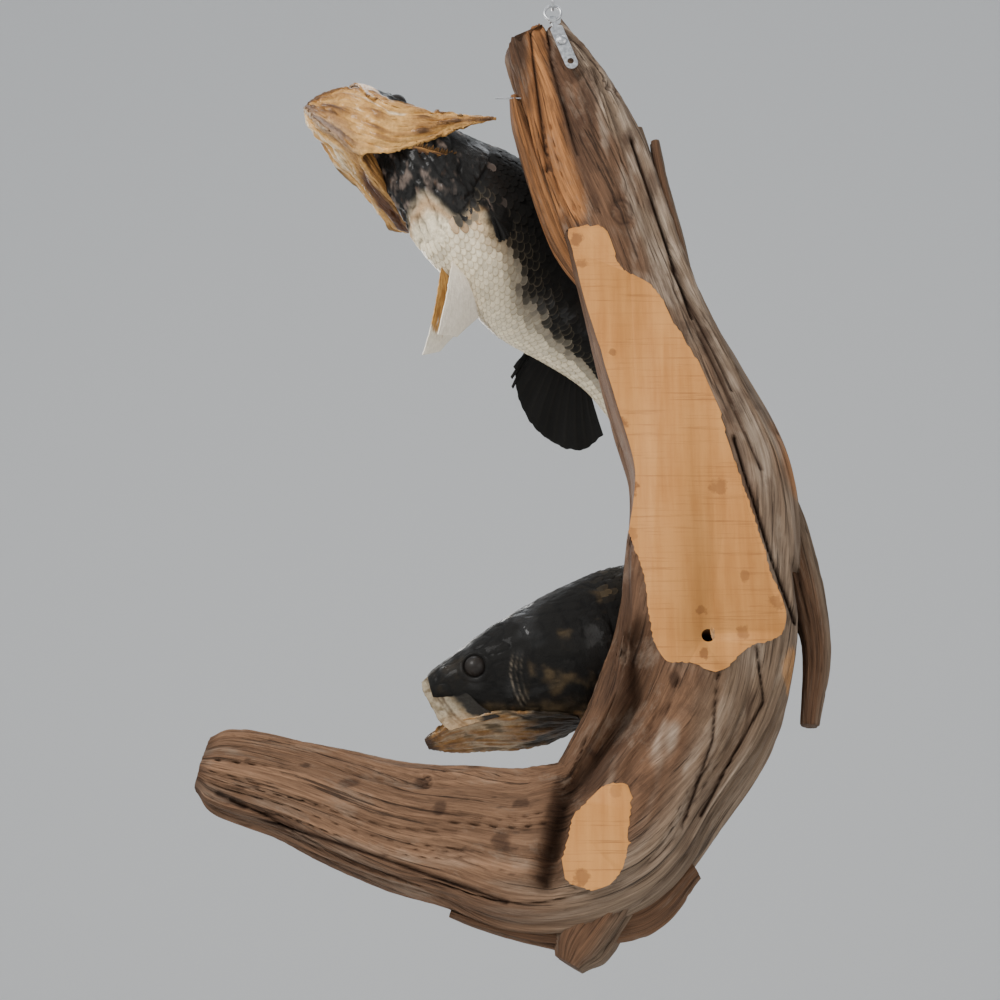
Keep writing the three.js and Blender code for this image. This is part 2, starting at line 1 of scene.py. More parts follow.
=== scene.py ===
# Two dried bass on a hanging piece of driftwood: finish, scales, fins, grain and light.
import bpy
import numpy as np
from math import radians, pi, sin, cos
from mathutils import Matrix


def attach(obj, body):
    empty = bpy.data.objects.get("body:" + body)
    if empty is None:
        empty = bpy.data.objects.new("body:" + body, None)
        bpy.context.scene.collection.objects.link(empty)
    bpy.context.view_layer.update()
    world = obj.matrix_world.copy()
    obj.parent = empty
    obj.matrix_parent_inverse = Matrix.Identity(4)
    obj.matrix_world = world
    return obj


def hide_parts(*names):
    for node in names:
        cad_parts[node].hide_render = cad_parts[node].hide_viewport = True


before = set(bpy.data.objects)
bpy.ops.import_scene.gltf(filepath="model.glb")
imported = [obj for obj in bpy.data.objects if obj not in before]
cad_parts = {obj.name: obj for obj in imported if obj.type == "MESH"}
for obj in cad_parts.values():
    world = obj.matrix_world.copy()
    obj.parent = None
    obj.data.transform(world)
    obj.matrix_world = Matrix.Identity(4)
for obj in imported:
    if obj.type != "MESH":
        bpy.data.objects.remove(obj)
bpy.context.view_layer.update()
mm = 0.001

# camera
view = {"place": (-0.045, -1.3783, -1.0083), "lookUp": 19.0, "lens": 67.5, "sensor": 36.0, "clipEnd": 50.0}
cameraData = bpy.data.cameras.new("viewCamera")
cameraData.lens = view["lens"]
cameraData.sensor_width = view["sensor"]
cameraData.clip_end = view["clipEnd"]
camera = bpy.data.objects.new("viewCamera", cameraData)
bpy.context.collection.objects.link(camera)
camera.location = view["place"]
camera.rotation_euler = (radians(90 + view["lookUp"]), 0, 0)
bpy.context.scene.camera = camera
print("camera placed")


# curves and noise

def hermite(table, x):
    # smooth value read from rows of (place, value)
    table = np.asarray(table, float)
    places, values = table[:, 0], table[:, 1]
    x = np.asarray(x, float)
    i = np.clip(np.searchsorted(places, x, side="left") - 1, 0, len(places) - 2)
    before, after = np.maximum(i - 1, 0), np.minimum(i + 2, len(places) - 1)
    span = places[i + 1] - places[i]
    startSlope = (values[i + 1] - values[before]) / (places[i + 1] - places[before])
    endSlope = (values[after] - values[i]) / (places[after] - places[i])
    t = np.clip((x - places[i]) / span, 0, 1)
    rise = values[i + 1] - values[i]
    cubic = (3 - 2 * t) * t * t * rise
    return values[i] + cubic + t * (1 - t) ** 2 * span * startSlope + t * t * (t - 1) * span * endSlope


def ramp(a, b, x):
    t = np.clip((np.asarray(x, float) - a) / (b - a), 0, 1)
    return t * t * (3 - 2 * t)


def bump(x, middle, width):
    return np.exp(-((np.asarray(x, float) - middle) / width) ** 2)


def signedPower(value, exponent):
    return np.sign(value) * np.abs(value) ** exponent


hashing = {"axes": (374761393, 668265263, 2147483647), "seed": 974634777, "mix": 1274126177, "bits": 0xFFFFFFFF}


def latticeNoise(points, seed):
    # smooth noise from -1 to 1 at an array of points with three columns
    cell = np.floor(points).astype(np.int64)
    part = points - cell
    part = part * part * (3 - 2 * part)
    total = np.zeros(points.shape[:-1])
    for corner in range(8):
        step = np.array([corner & 1, (corner >> 1) & 1, (corner >> 2) & 1])
        mixed = ((cell + step) @ np.array(hashing["axes"]) + seed * hashing["seed"]) & hashing["bits"]
        mixed = ((mixed ^ (mixed >> 13)) * hashing["mix"]) & hashing["bits"]
        value = ((mixed ^ (mixed >> 16)) & 0xFFFF) / 32767.5 - 1
        weight = np.prod(np.where(step, part, 1 - part), axis=-1)
        total += value * weight
    return total


def layeredNoise(points, seed, layers=3):
    total = 0
    for k in range(layers):
        total = total + latticeNoise(points * 2 ** k, seed + k) / 2 ** k
    return total / 1.6


def stack(*parts):
    return np.stack(np.broadcast_arrays(*[np.asarray(p, float) for p in parts]), -1)


def blend(a, b, t):
    # colours a and b mixed by an array t
    return np.asarray(a, float) * (1 - t[..., None]) + np.asarray(b, float) * t[..., None]


def coats(paint, colours, *layers):
    # lays named colours over paint in turn, each with its share
    for name, share in layers:
        paint = blend(paint, colours[name], share)
    return paint


def circle(sides):
    return (np.arange(sides) / sides * 2 * pi)[None, :]


def gridSteps(rows, columns):
    return np.linspace(0, 1, rows + 1)[:, None], np.linspace(0, 1, columns + 1)[None, :]


# meshes

def gridShell(points):
    # vertices and faces of a closed, capped shell from rings of points
    index = np.arange(points.shape[0] * points.shape[1]).reshape(points.shape[:2])
    across = np.roll(index, -1, 1)
    quads = np.stack([index[:-1], across[:-1], across[1:], index[1:]], -1).reshape(-1, 4)
    return points.reshape(-1, 3), quads.tolist() + [index[0][::-1].tolist(), index[-1].tolist()]


def sheetNormal(points):
    normal = np.cross(np.gradient(points, axis=0), np.gradient(points, axis=1))
    return normal / np.maximum(np.linalg.norm(normal, axis=-1, keepdims=True), 1e-12)


def thickSheet(points, thickness):
    # a closed solid of even thickness about a grid of points
    normal = sheetNormal(points)
    half = np.asarray(thickness)[..., None] / 2 if np.ndim(thickness) else thickness / 2
    front, rear = points + normal * half, points - normal * half
    rows, columns = points.shape[:2]
    a = np.arange(rows * columns).reshape(rows, columns)
    b = a + rows * columns
    faces = np.stack([a[:-1, :-1], a[1:, :-1], a[1:, 1:], a[:-1, 1:]], -1).reshape(-1, 4).tolist()
    faces += np.stack([b[:-1, :-1], b[:-1, 1:], b[1:, 1:], b[1:, :-1]], -1).reshape(-1, 4).tolist()
    rim = np.concatenate([a[0, :-1], a[:-1, -1], a[-1, :0:-1], a[:0:-1, 0]])
    n = rows * columns
    for k in range(len(rim)):
        p, q = int(rim[k]), int(rim[(k + 1) % len(rim)])
        faces.append([p, q, q + n, p + n])
    return np.concatenate([front.reshape(-1, 3), rear.reshape(-1, 3)]), faces


def selectOnly(made):
    bpy.ops.object.select_all(action="DESELECT")
    made.select_set(True)
    bpy.context.view_layer.objects.active = made


def editAll(made, *jobs):
    # runs edit mode operators on the whole mesh
    selectOnly(made)
    bpy.ops.object.mode_set(mode="EDIT")
    bpy.ops.mesh.select_all(action="SELECT")
    for operator, settings in jobs:
        operator(**settings)
    bpy.ops.object.mode_set(mode="OBJECT")


def makeObject(name, shells, material, angle=None):
    # shells: dictionaries with vertices in mm, faces, and per-vertex paint and gloss
    vertices, faces, paints, glosses, places = [], [], [], [], []
    count = 0
    for shell in shells:
        v = np.asarray(shell["vertices"])
        vertices.append(v * mm)
        faces += [[i + count for i in face] for face in shell["faces"]]
        paints.append(shell["paint"])
        glosses.append(np.broadcast_to(np.asarray(shell.get("gloss", 0.5), float), (len(v),)))
        places.append(shell.get("place", v * 0.1))
        count += len(v)
    mesh = bpy.data.meshes.new(name)
    mesh.from_pydata(np.concatenate(vertices).tolist(), [], faces)
    rgba = np.ones((count, 4))
    rgba[:, :3] = np.clip(np.concatenate(paints), 0, 1)
    for label, kind, key, values in (("paint", "FLOAT_COLOR", "color", rgba),
                                     ("gloss", "FLOAT", "value", np.concatenate(glosses)),
                                     ("place", "FLOAT_VECTOR", "vector", np.concatenate(places))):
        mesh.attributes.new(label, kind, "POINT").data.foreach_set(key, values.ravel())
    mesh.polygons.foreach_set("use_smooth", [True] * len(mesh.polygons))
    mesh.materials.append(material)
    mesh.update()
    made = bpy.data.objects.new(name, mesh)
    bpy.context.collection.objects.link(made)
    editAll(made, (bpy.ops.mesh.normals_make_consistent, {"inside": False}))
    if angle:
        bpy.ops.object.shade_smooth_by_angle(angle=radians(angle))
    return made


# shader maths

class Socket:
    # a shader value that takes part in sums
    def __init__(self, tree, link):
        self.tree, self.link = tree, link

    def maths(self, operation, other, swap=False):
        a, b = (other, self) if swap else (self, other)
        return self.tree.node("ShaderNodeMath", {"operation": operation}, {0: a, 1: b})

    def __add__(self, other): return self.maths("ADD", other)
    def __radd__(self, other): return self.maths("ADD", other, True)
    def __sub__(self, other): return self.maths("SUBTRACT", other)
    def __rsub__(self, other): return self.maths("SUBTRACT", other, True)
    def __mul__(self, other): return self.maths("MULTIPLY", other)


class Finish:
    # one material and its nodes
    def __init__(self, name, **constants):
        self.material = bpy.data.materials.new(name)
        self.material.use_nodes = True
        self.nodes = self.material.node_tree.nodes
        self.links = self.material.node_tree.links
        self.shader = self.nodes["Principled BSDF"]
        for key, value in constants.items():
            self.shader.inputs[key.replace("_", " ")].default_value = value

    def put(self, entry, value):
        if isinstance(value, Socket):
            self.links.new(value.link, entry)
        else:
            entry.default_value = value

    def node(self, kind, settings=None, values=None, output=0):
        made = self.nodes.new(kind)
        for key, value in (settings or {}).items():
            setattr(made, key, value)
        for key, value in (values or {}).items():
            self.put(made.inputs[key], value)
        return Socket(self, made.outputs[output])

    def mix(self, factor, a, b, kind="MIX"):
        made = self.nodes.new("ShaderNodeMix")
        made.data_type, made.blend_type, made.clamp_factor = "RGBA", kind, True
        self.put(made.inputs[0], factor)
        for key, value in ((6, a), (7, b)):
            self.put(made.inputs[key], value if isinstance(value, Socket) else (*value, 1))
        return Socket(self, made.outputs[2])

    def attribute(self, name, output):
        return self.node("ShaderNodeAttribute", {"attribute_name": name}, output=output)

    def stretched(self, source, scale):
        return self.node("ShaderNodeMapping", {}, {"Vector": source, "Scale": scale})

    def noise(self, source, scale, detail=4.0, rough=0.6):
        values = {"Vector": source, "Scale": scale, "Detail": detail, "Roughness": rough}
        return self.node("ShaderNodeTexNoise", {}, values)

    def objectPlace(self):
        return self.node("ShaderNodeTexCoord", output=3)

    def steps(self, value, low, high):
        # 0 below low to 1 above high; falls instead when low is the larger
        made = self.nodes.new("ShaderNodeMapRange")
        made.clamp = True
        made.inputs["From Min"].default_value = low
        made.inputs["From Max"].default_value = high
        self.links.new(value.link, made.inputs["Value"])
        return Socket(self, made.outputs[0])

    def feed(self, name, value):
        self.links.new(value.link, self.shader.inputs[name])

    def relief(self, height, strength, distance):
        values = {"Height": height, "Strength": strength, "Distance": distance}
        self.feed("Normal", self.node("ShaderNodeBump", {}, values))


def woodFinish():
    # weathered surface: painted zones, fibres along the grain, fine checks and pale wear
    f = Finish("weatheredWood", Roughness=0.82, Specular_IOR_Level=0.25)
    base = f.attribute("paint", 0)
    grain = f.attribute("place", 1)
    fibre = f.noise(f.stretched(grain, (3.0, 0.13, 3.0)), 2.0, 7.0, 0.72)
    thread = f.noise(f.stretched(grain, (1.3, 0.04, 1.3)), 2.6, 4.0, 0.62)
    streak = f.noise(f.stretched(grain, (0.6, 0.05, 0.6)), 1.4, 5.0, 0.62)
    blotch = f.noise(f.stretched(grain, (0.26, 0.12, 0.26)), 1.5, 7.0, 0.72)
    dark = f.mix(f.steps(fibre, 0.3, 0.65), (0.42, 0.37, 0.33), (1.32, 1.3, 1.28))
    colour = f.mix(1.0, base, dark, "MULTIPLY")
    colour = f.mix(f.steps(blotch, 0.54, 0.70) * 0.4, colour, (0.36, 0.285, 0.215))
    colour = f.mix(f.steps(blotch, 0.44, 0.33) * 0.5, colour, (0.06, 0.032, 0.018))
    # fine checks, bumped in and darkened: the dark is painted shade inside the checks
    crack = f.steps(thread, 0.40, 0.33)
    colour = f.mix(crack * 0.7, colour, (0.026, 0.014, 0.009))
    colour = f.mix(f.steps(streak, 0.6, 0.42) * 0.3, colour, (0.05, 0.026, 0.015))
    f.feed("Base Color", colour)
    f.relief(fibre * 0.8 + streak - crack * 1.1, 0.9, 0.0022)
    return f.material


sawnStains = [  # x, z, reach in mm and darkness of the stains on the sawn face
    (45, -408, 4, 0.6), (50, -468, 9, 0.75), (55, -523, 9, 0.85), (125, -523, 9, 0.5), (143, -595, 5, 0.5),
    (108, -622, 6, 0.55), (110, -656, 6, 0.7), (166, -616, 8, 0.5), (56, -560, 7, 0.35), (18, -308, 8, 0.7),
    (22, -330, 6, 0.5), (46, -475, 6, 0.6), (139, -640, 7, 0.5), (14, -824, 8, 0.6), (40, -760, 6, 0.3),
]


def sawnFinish():
    # cut face: fine saw lines across, soft growth lines along, brown stains
    f = Finish("sawnWood", Roughness=0.66, Specular_IOR_Level=0.3)
    place = f.objectPlace()
    saw = f.noise(f.stretched(place, (7.0, 1.0, 250.0)), 1.6, 6.0, 0.72)
    growth = f.noise(f.stretched(place, (120.0, 1.0, 9.0)), 1.0, 5.0, 0.62)
    cloud = f.noise(place, 16.0, 4.0, 0.6)
    fine = f.noise(place, 150.0, 4.0, 0.65)
    colour = f.mix(f.steps(growth, 0.3, 0.72), (0.40, 0.158, 0.036), (0.55, 0.245, 0.064))
    colour = f.mix(f.steps(cloud, 0.4, 0.7) * 0.35, colour, (0.64, 0.315, 0.095))
    colour = f.mix(f.steps(saw, 0.54, 0.68) * 0.75, colour, (0.24, 0.092, 0.028))
    for x, z, reach, dark in sawnStains:
        centre = (x * mm, wood["backPlane"] * mm, z * mm)
        away = f.node("ShaderNodeVectorMath", {"operation": "DISTANCE"}, {0: place, 1: centre}, 1)
        spot = f.steps(away * (1 / (reach * mm)) * 0.42 + fine * 0.75 + cloud * 0.5, 0.98, 0.86)
        colour = f.mix(spot * dark, colour, (0.17, 0.062, 0.02))
    f.feed("Base Color", colour)
    f.relief(saw + growth * 0.4, 0.4, 0.0008)
    return f.material


def boreFinish():
    f = Finish("boredWood", Roughness=0.9, Specular_IOR_Level=0.1)
    place = f.objectPlace()
    # near black: painted shade inside the drilled hole
    f.feed("Base Color", f.mix(f.noise(place, 300.0), (0.10, 0.042, 0.015), (0.03, 0.013, 0.006)))
    return f.material


def fishFinish(name, coat, bumpSize, mottling):
    # dried, varnished skin: painted colours with fine mottling and wrinkles
    f = Finish(name, Specular_IOR_Level=0.24, Coat_Roughness=0.12)
    base = f.attribute("paint", 0)
    gloss = f.attribute("gloss", 2)
    place = f.objectPlace()
    mottle = f.noise(place, 260.0, 6.0, 0.7)
    fold = f.noise(place, 95.0, 6.0, 0.68)
    shade = f.mix(f.steps(mottle, 0.3, 0.7), (0.60, 0.55, 0.48), (1.2, 1.18, 1.14))
    f.feed("Base Color", f.mix(mottling, base, shade, "MULTIPLY"))
    f.feed("Roughness", 0.80 - gloss * 0.50 + mottle * 0.2)
    f.feed("Coat Weight", gloss * coat)
    f.relief(mottle * 0.5 + fold + f.noise(place, 640.0, 3.0, 0.7) * 0.35, 0.8, bumpSize)
    return f.material


def steelFinish():
    f = Finish("galvanisedSteel", Metallic=1.0)
    place = f.objectPlace()
    spangle = f.noise(place, 420.0, 3.0, 0.6)
    f.feed("Base Color", f.mix(f.steps(spangle, 0.35, 0.7), (0.40, 0.41, 0.42), (0.66, 0.67, 0.68)))
    f.feed("Roughness", 0.26 + spangle * 0.28)
    f.relief(spangle, 0.2, 0.0004)
    return f.material


def eyeFinish():
    f = Finish("driedEye", Roughness=0.55, Coat_Weight=0.08, Specular_IOR_Level=0.25)
    place = f.objectPlace()
    cloud = f.noise(place, 120.0, 3.0, 0.5)
    f.feed("Base Color", f.mix(cloud, (0.004, 0.003, 0.003), (0.018, 0.013, 0.009)))
    return f.material


# driftwood

wood = {
    "rings": 470, "sides": 228, "backPlane": 1.1,
    "stations": [(-15, -105, 28, 30, 30), (10, -155, 39, 33, 34), (30, -220, 46, 34, 37),
        (55, -300, 45, 34, 42), (75, -365, 48, 34, 44), (100, -440, 56, 34, 45), (120, -505, 64, 35, 46),
        (120, -570, 68, 36, 46), (115, -640, 70, 38, 46), (100, -690, 70, 42, 42), (70, -740, 64, 42, 42),
        (35, -785, 62, 42, 44), (-20, -800, 60, 42, 38), (-75, -790, 52, 40, 34), (-125, -780, 46, 38, 31),
        (-195, -755, 38, 36, 28), (-250, -740, 32, 34, 24), (-270, -735, 20, 34, 15)],
    "limbs": {
        "slab": [(170, -500, 13, 40, 15), (187, -562, 15, 41, 14), (200, -640, 11, 42, 12), (193, -703, 7, 42, 8)],
        "flange": [(-30, -838, 16, 40, 12), (0, -842, 20, 40, 14), (55, -838, 24, 44, 16), (98, -808, 13, 46, 12)],
        "lump": [(40, -835, 20, 40, 20), (16, -866, 22, 40, 18), (6, -882, 12, 40, 11)],
        "splinter": [(86, -206, 4, 24, 6), (91, -250, 6, 24, 12), (99, -295, 8, 27, 16), (108, -340, 7, 30, 18),
            (116, -380, 5, 32, 18)],
        "shard": [(72, -196, 3, 18, 4), (76, -225, 6, 20, 9), (82, -265, 6, 24, 12), (88, -300, 4, 27, 12)],
        "layer": [(-33, -158, 4, 33, 8), (-28, -185, 7, 33, 12), (-18, -222, 8, 33, 15), (-6, -262, 8, 34, 16),
            (8, -300, 7, 36, 16), (28, -335, 4, 38, 10)],
        "sliver": [(-82, -845, 3, 38, 3), (-60, -852, 5, 38, 6), (-30, -858, 8, 39, 9), (0, -862, 10, 40, 10)],
    },
    # outlines of the flat sawn places on the back, x and z
    "sawn": [
        [(0, -300), (20, -295), (42, -296), (50, -335), (80, -352), (95, -385), (115, -420), (135, -485), (150, -540),
         (162, -590), (175, -625), (168, -643), (140, -650), (122, -670), (98, -662), (80, -664), (69, -645),
         (66, -595), (54, -555), (30, -525), (10, -430), (-5, -360)],
        [(53, -753), (49, -790), (42, -826), (26, -836), (2, -827), (-1, -808), (8, -776), (29, -757)],
    ],
    "hole": {"x": 113, "z": -642, "radius": 5, "depth": 34},
    "knots": [(55, -280, 9), (-100, -752, 4)],  # x, z, radius
    # x, z points of open cracks and folds on the back, width and depth
    "cracks": [
        ([(65, -210), (80, -265), (110, -375)], 1.6, 7), ([(-5, -100), (0, -140), (20, -225)], 1.3, 4),
        ([(-20, -100), (-5, -240)], 1.2, 4), ([(140, -480), (165, -580), (180, -630)], 1.6, 8),
        ([(185, -585), (190, -640), (180, -700)], 3.6, 26), ([(150, -650), (155, -690), (105, -775)], 1.4, 5),
        ([(120, -670), (115, -720), (90, -785)], 1.2, 3.5), ([(-245, -765), (-185, -790), (-40, -840)], 1.4, 5),
        ([(115, -390), (145, -465), (160, -505)], 1.5, 4), ([(95, -330), (140, -440)], 1.3, 4),
        ([(-255, -760), (-235, -770)], 1.8, 4), ([(60, -640), (60, -685), (5, -765), (-10, -825)], 9, 24),
        ([(75, -700), (50, -750)], 6, 5), ([(150, -690), (90, -800)], 7, 5),
    ],
    # x, z, half width and half height of dark stains on the arm and the bend
    "stains": [(-155, -753, 8, 4), (-190, -740, 4, 2), (-105, -753, 6, 4), (-90, -772, 5, 6), (-30, -768, 6, 3),
        (-45, -797, 8, 6), (-15, -822, 4, 3), (87, -675, 4, 6), (25, -727, 5, 3)],
    "fold": 4.6, "ridge": 2.4, "fibre": 0.8, "check": 3.6, "proud": 0.15, "smoothAngle": 58,
}

woodColours = {
    "brown": (0.150, 0.080, 0.043), "grey": (0.20, 0.145, 0.10), "orange": (0.43, 0.185, 0.062),
    "dark": (0.042, 0.020, 0.011), "pale": (0.42, 0.34, 0.265), "arm": (0.225, 0.128, 0.073),
    "olive": (0.165, 0.112, 0.07), "sawn": (0.58, 0.30, 0.115),
}

# colour, strength, softness and outline of each painted zone on the back
woodZones = [
    ("orange", 0.85, 5, [(-22, -96), (-7, -96), (-3, -139), (6, -188), (16, -230), (28, -275), (20, -294),
        (2, -292), (-12, -262), (-24, -215), (-34, -170), (-24, -150), (-21, -120)]),
    ("dark", 0.6, 4, [(-50, -92), (-24, -96), (-21, -140), (-16, -190), (-32, -168), (-50, -150)]),
    ("dark", 0.5, 4, [(-6, -96), (5, -100), (8, -139), (22, -186), (34, -240), (38, -284), (29, -282),
        (16, -226), (6, -188), (-2, -139)]),
    ("dark", 0.6, 8, [(14, -165), (32, -168), (36, -205), (18, -200)]),
    ("brown", 0.75, 9, [(26, -205), (62, -212), (74, -270), (50, -292), (32, -250)]),
    ("dark", 0.7, 5, [(-8, -272), (10, -280), (14, -300), (15, -350), (0, -340)]),
    ("orange", 0.6, 6, [(170, -455), (190, -466), (196, -500), (188, -530), (176, -500)]),
    ("sawn", 0.8, 1.2, [(177, -648), (184, -655), (181, -680), (174, -684), (168, -666)]),
    ("olive", 0.6, 12, [(100, -670), (176, -640), (160, -730), (110, -770)]),
    # this dark zone is painted shadow on the shaded left side below the upper sawn face
    ("dark", 0.55, 9, [(30, -520), (60, -560), (66, -640), (58, -690), (30, -700), (10, -600)]),
    ("dark", 0.55, 6, [(52, -700), (62, -706), (40, -750), (4, -772), (-2, -820), (-14, -820), (-10, -766),
        (20, -742)]),
]


def distanceTo(points, line, closed=False):
    # distance from many points to a broken line
    line = np.asarray(line, float)
    ends = np.roll(line, -1, 0) if closed else line[1:]
    starts = line if closed else line[:-1]
    best = np.full(len(points), 1e9)
    for a, b in zip(starts, ends):
        way = b - a
        t = np.clip(((points - a) @ way) / max(way @ way, 1e-9), 0, 1)
        best = np.minimum(best, np.hypot(*(points - a - t[:, None] * way).T))
    return best


def signedDistance(points, outline):
    # negative inside a closed outline
    outline = np.asarray(outline, float)
    for _ in range(2):
        after = np.roll(outline, -1, 0)
        outline = np.stack([0.8 * outline + 0.2 * after, 0.2 * outline + 0.8 * after], 1).reshape(-1, 2)
    inside = np.zeros(len(points), bool)
    for a, b in zip(outline, np.roll(outline, -1, 0)):
        crosses = (a[1] > points[:, 1]) != (b[1] > points[:, 1])
        at = a[0] + (points[:, 1] - a[1]) * (b[0] - a[0]) / np.where(b[1] == a[1], 1e-9, b[1] - a[1])
        inside ^= crosses & (points[:, 0] < at)
    return np.where(inside, -1, 1) * distanceTo(points, outline, True)


finishes = {
    "wood": woodFinish(), "sawn": sawnFinish(), "skin": fishFinish("driedSkin", 0.28, 0.0020, 0.9),
    "fin": fishFinish("driedFin", 0.12, 0.0005, 0.4), "scale": fishFinish("varnishedScale", 0.45, 0.0003, 0.6),
    "steel": steelFinish(), "eye": eyeFinish(), "bore": boreFinish(),
}
print("finishes made")


def knotAway(x, z, knotX, knotZ):
    return np.hypot(x - knotX, (z - knotZ) * 0.8) + 1.5 * latticeNoise(stack(x / 8, z / 8, 0 * x), 4)


def woodPaint(at, seed, isTrunk, isOrange):
    # at: places x and z, station s, angle a, flat back places, right and front facing, noise places
    x, z, s, a, flat, right, front, point = at
    wander = layeredNoise(point(3.0, 140, 1), seed + 21, 3)
    patchy = layeredNoise(point(6.5, 38, 5), seed + 25, 3)
    c = woodColours
    paint = blend(c["brown"], c["grey"], ramp(0.0, 0.75, right + 0.6 * wander))
    if not isTrunk:
        return blend(paint, c["orange"], 0.8 * ramp(-0.4, 0.4, wander + 0.3)) if isOrange else paint
    where = 0.85 * bump(s, 9.4, 1.3) * bump(right, 0.05, 0.5) + 0.35 * ramp(0.1, 0.6, right)
    worn = ramp(-0.1, 0.5, patchy) * where
    paint = coats(paint, c, ("arm", ramp(11.2, 12.6, s) + 0 * a),
                  ("pale", np.clip(worn, 0, 0.85) * ramp(-0.2, 0.5, front)))
    for name, strength, soft, outline in woodZones:
        away = signedDistance(flat, outline).reshape(x.shape) + 0.8 * soft * patchy
        paint = blend(paint, c[name], strength * ramp(soft, -soft, away) * ramp(0.0, 0.3, front))
    bark = layeredNoise(stack(x / 16, z / 30, 0 * x), 71, 4)
    upper = (1 - ramp(4.5, 7.5, s)) * ramp(0.1, 0.4, front) * ramp(-0.25, 0.15, right)
    rough = 0.5 * layeredNoise(stack(x / 5, z / 4, 0 * x), 8, 2)
    mark = np.zeros(x.shape)
    for stainX, stainZ, half, tall in wood["stains"]:
        mark = np.maximum(mark, ramp(1.25, 0.75, np.hypot((x - stainX) / half, (z - stainZ) / tall) + rough))
    paint = coats(paint, c, ("dark", 0.6 * ramp(0.12, 0.45, bark) * upper),
                  ("pale", 0.5 * ramp(0.1, 0.5, -bark + 0.5 * patchy) * upper), ("dark", 0.72 * mark * (front > 0)))
    for knotX, knotZ, radius in wood["knots"]:
        away = knotAway(x, z, knotX, knotZ)
        ring = bump(away, radius, radius * 0.16) + 0.7 * bump(away, radius * 0.5, radius * 0.14)
        paint = blend(paint, c["dark"], 0.85 * np.clip(ring, 0, 1) * (front > 0))
    speck = ramp(0.52, 0.66, layeredNoise(point(15, 12, 3), seed + 31, 2))
    # painted shade on the underside of the lower arm
    low = ramp(0.35, 0.8, right) * ramp(11.5, 12.5, s)
    return coats(paint, c, ("dark", 0.6 * speck * ramp(9.5, 12, s)), ("dark", 0.5 * ramp(16.4, 17, s) + 0 * a),
                 ("dark", 0.45 * low))


def sawnRelief(at, y, relief):
    # lays the sawn places on the cut, keeps the rest proud of it, adds knots and a broken top
    x, z, s, a, flat, right, front, point = at
    jag = 1.6 * latticeNoise(stack(x / 16, z / 22, 0 * x), 55) + 0.25 * latticeNoise(stack(x / 4, z / 5, 0 * x), 56)
    edge = np.minimum.reduce([signedDistance(flat, outline) for outline in wood["sawn"]]).reshape(x.shape) + jag
    proud = wood["backPlane"] + wood["proud"]
    reach = 8 + 12 * bump(s, 10, 1.6)
    lift = proud + reach * (1 - np.exp(-0.5 * np.maximum(edge, 0) / reach))
    lift = np.maximum(lift - relief * ramp(0, 7, edge) * 0.8, proud + 0.04 * np.maximum(edge, 0))
    lift += sum(sink * np.exp(-(distanceTo(flat, line).reshape(x.shape) / width) ** 2)
                for line, width, sink in wood["cracks"]) * ramp(0, 3, edge)
    keep = ramp(0.0, 0.2, front) * (1 - ramp(10.6, 12.2, s))
    outside = np.maximum(y, lift) * keep + y * (1 - keep)
    inside = wood["backPlane"] - 0.6 * np.minimum(-edge, 5) - 0.05
    turned = ramp(0.0, 0.26, front)
    inside = np.minimum(y, y * (1 - turned) + inside * turned)
    y = np.where((edge < 0) & (front > 0), inside, outside)
    for knotX, knotZ, radius in wood["knots"]:
        away = knotAway(x, z, knotX, knotZ)
        rim = 1.8 * bump(away, radius, radius * 0.22) + 1.2 * bump(away, radius * 0.5, radius * 0.12)
        y = y + (rim - 2.4 * bump(away, 0, radius * 0.45)) * (front > 0)
    steps = 2.4 * latticeNoise(stack(np.cos(a) * 3.2, np.sin(a) * 3.2, 0 * s + 3), 31)
    return y, z + (1 - ramp(0, 0.7, s)) * 6 * np.round(steps) / 2


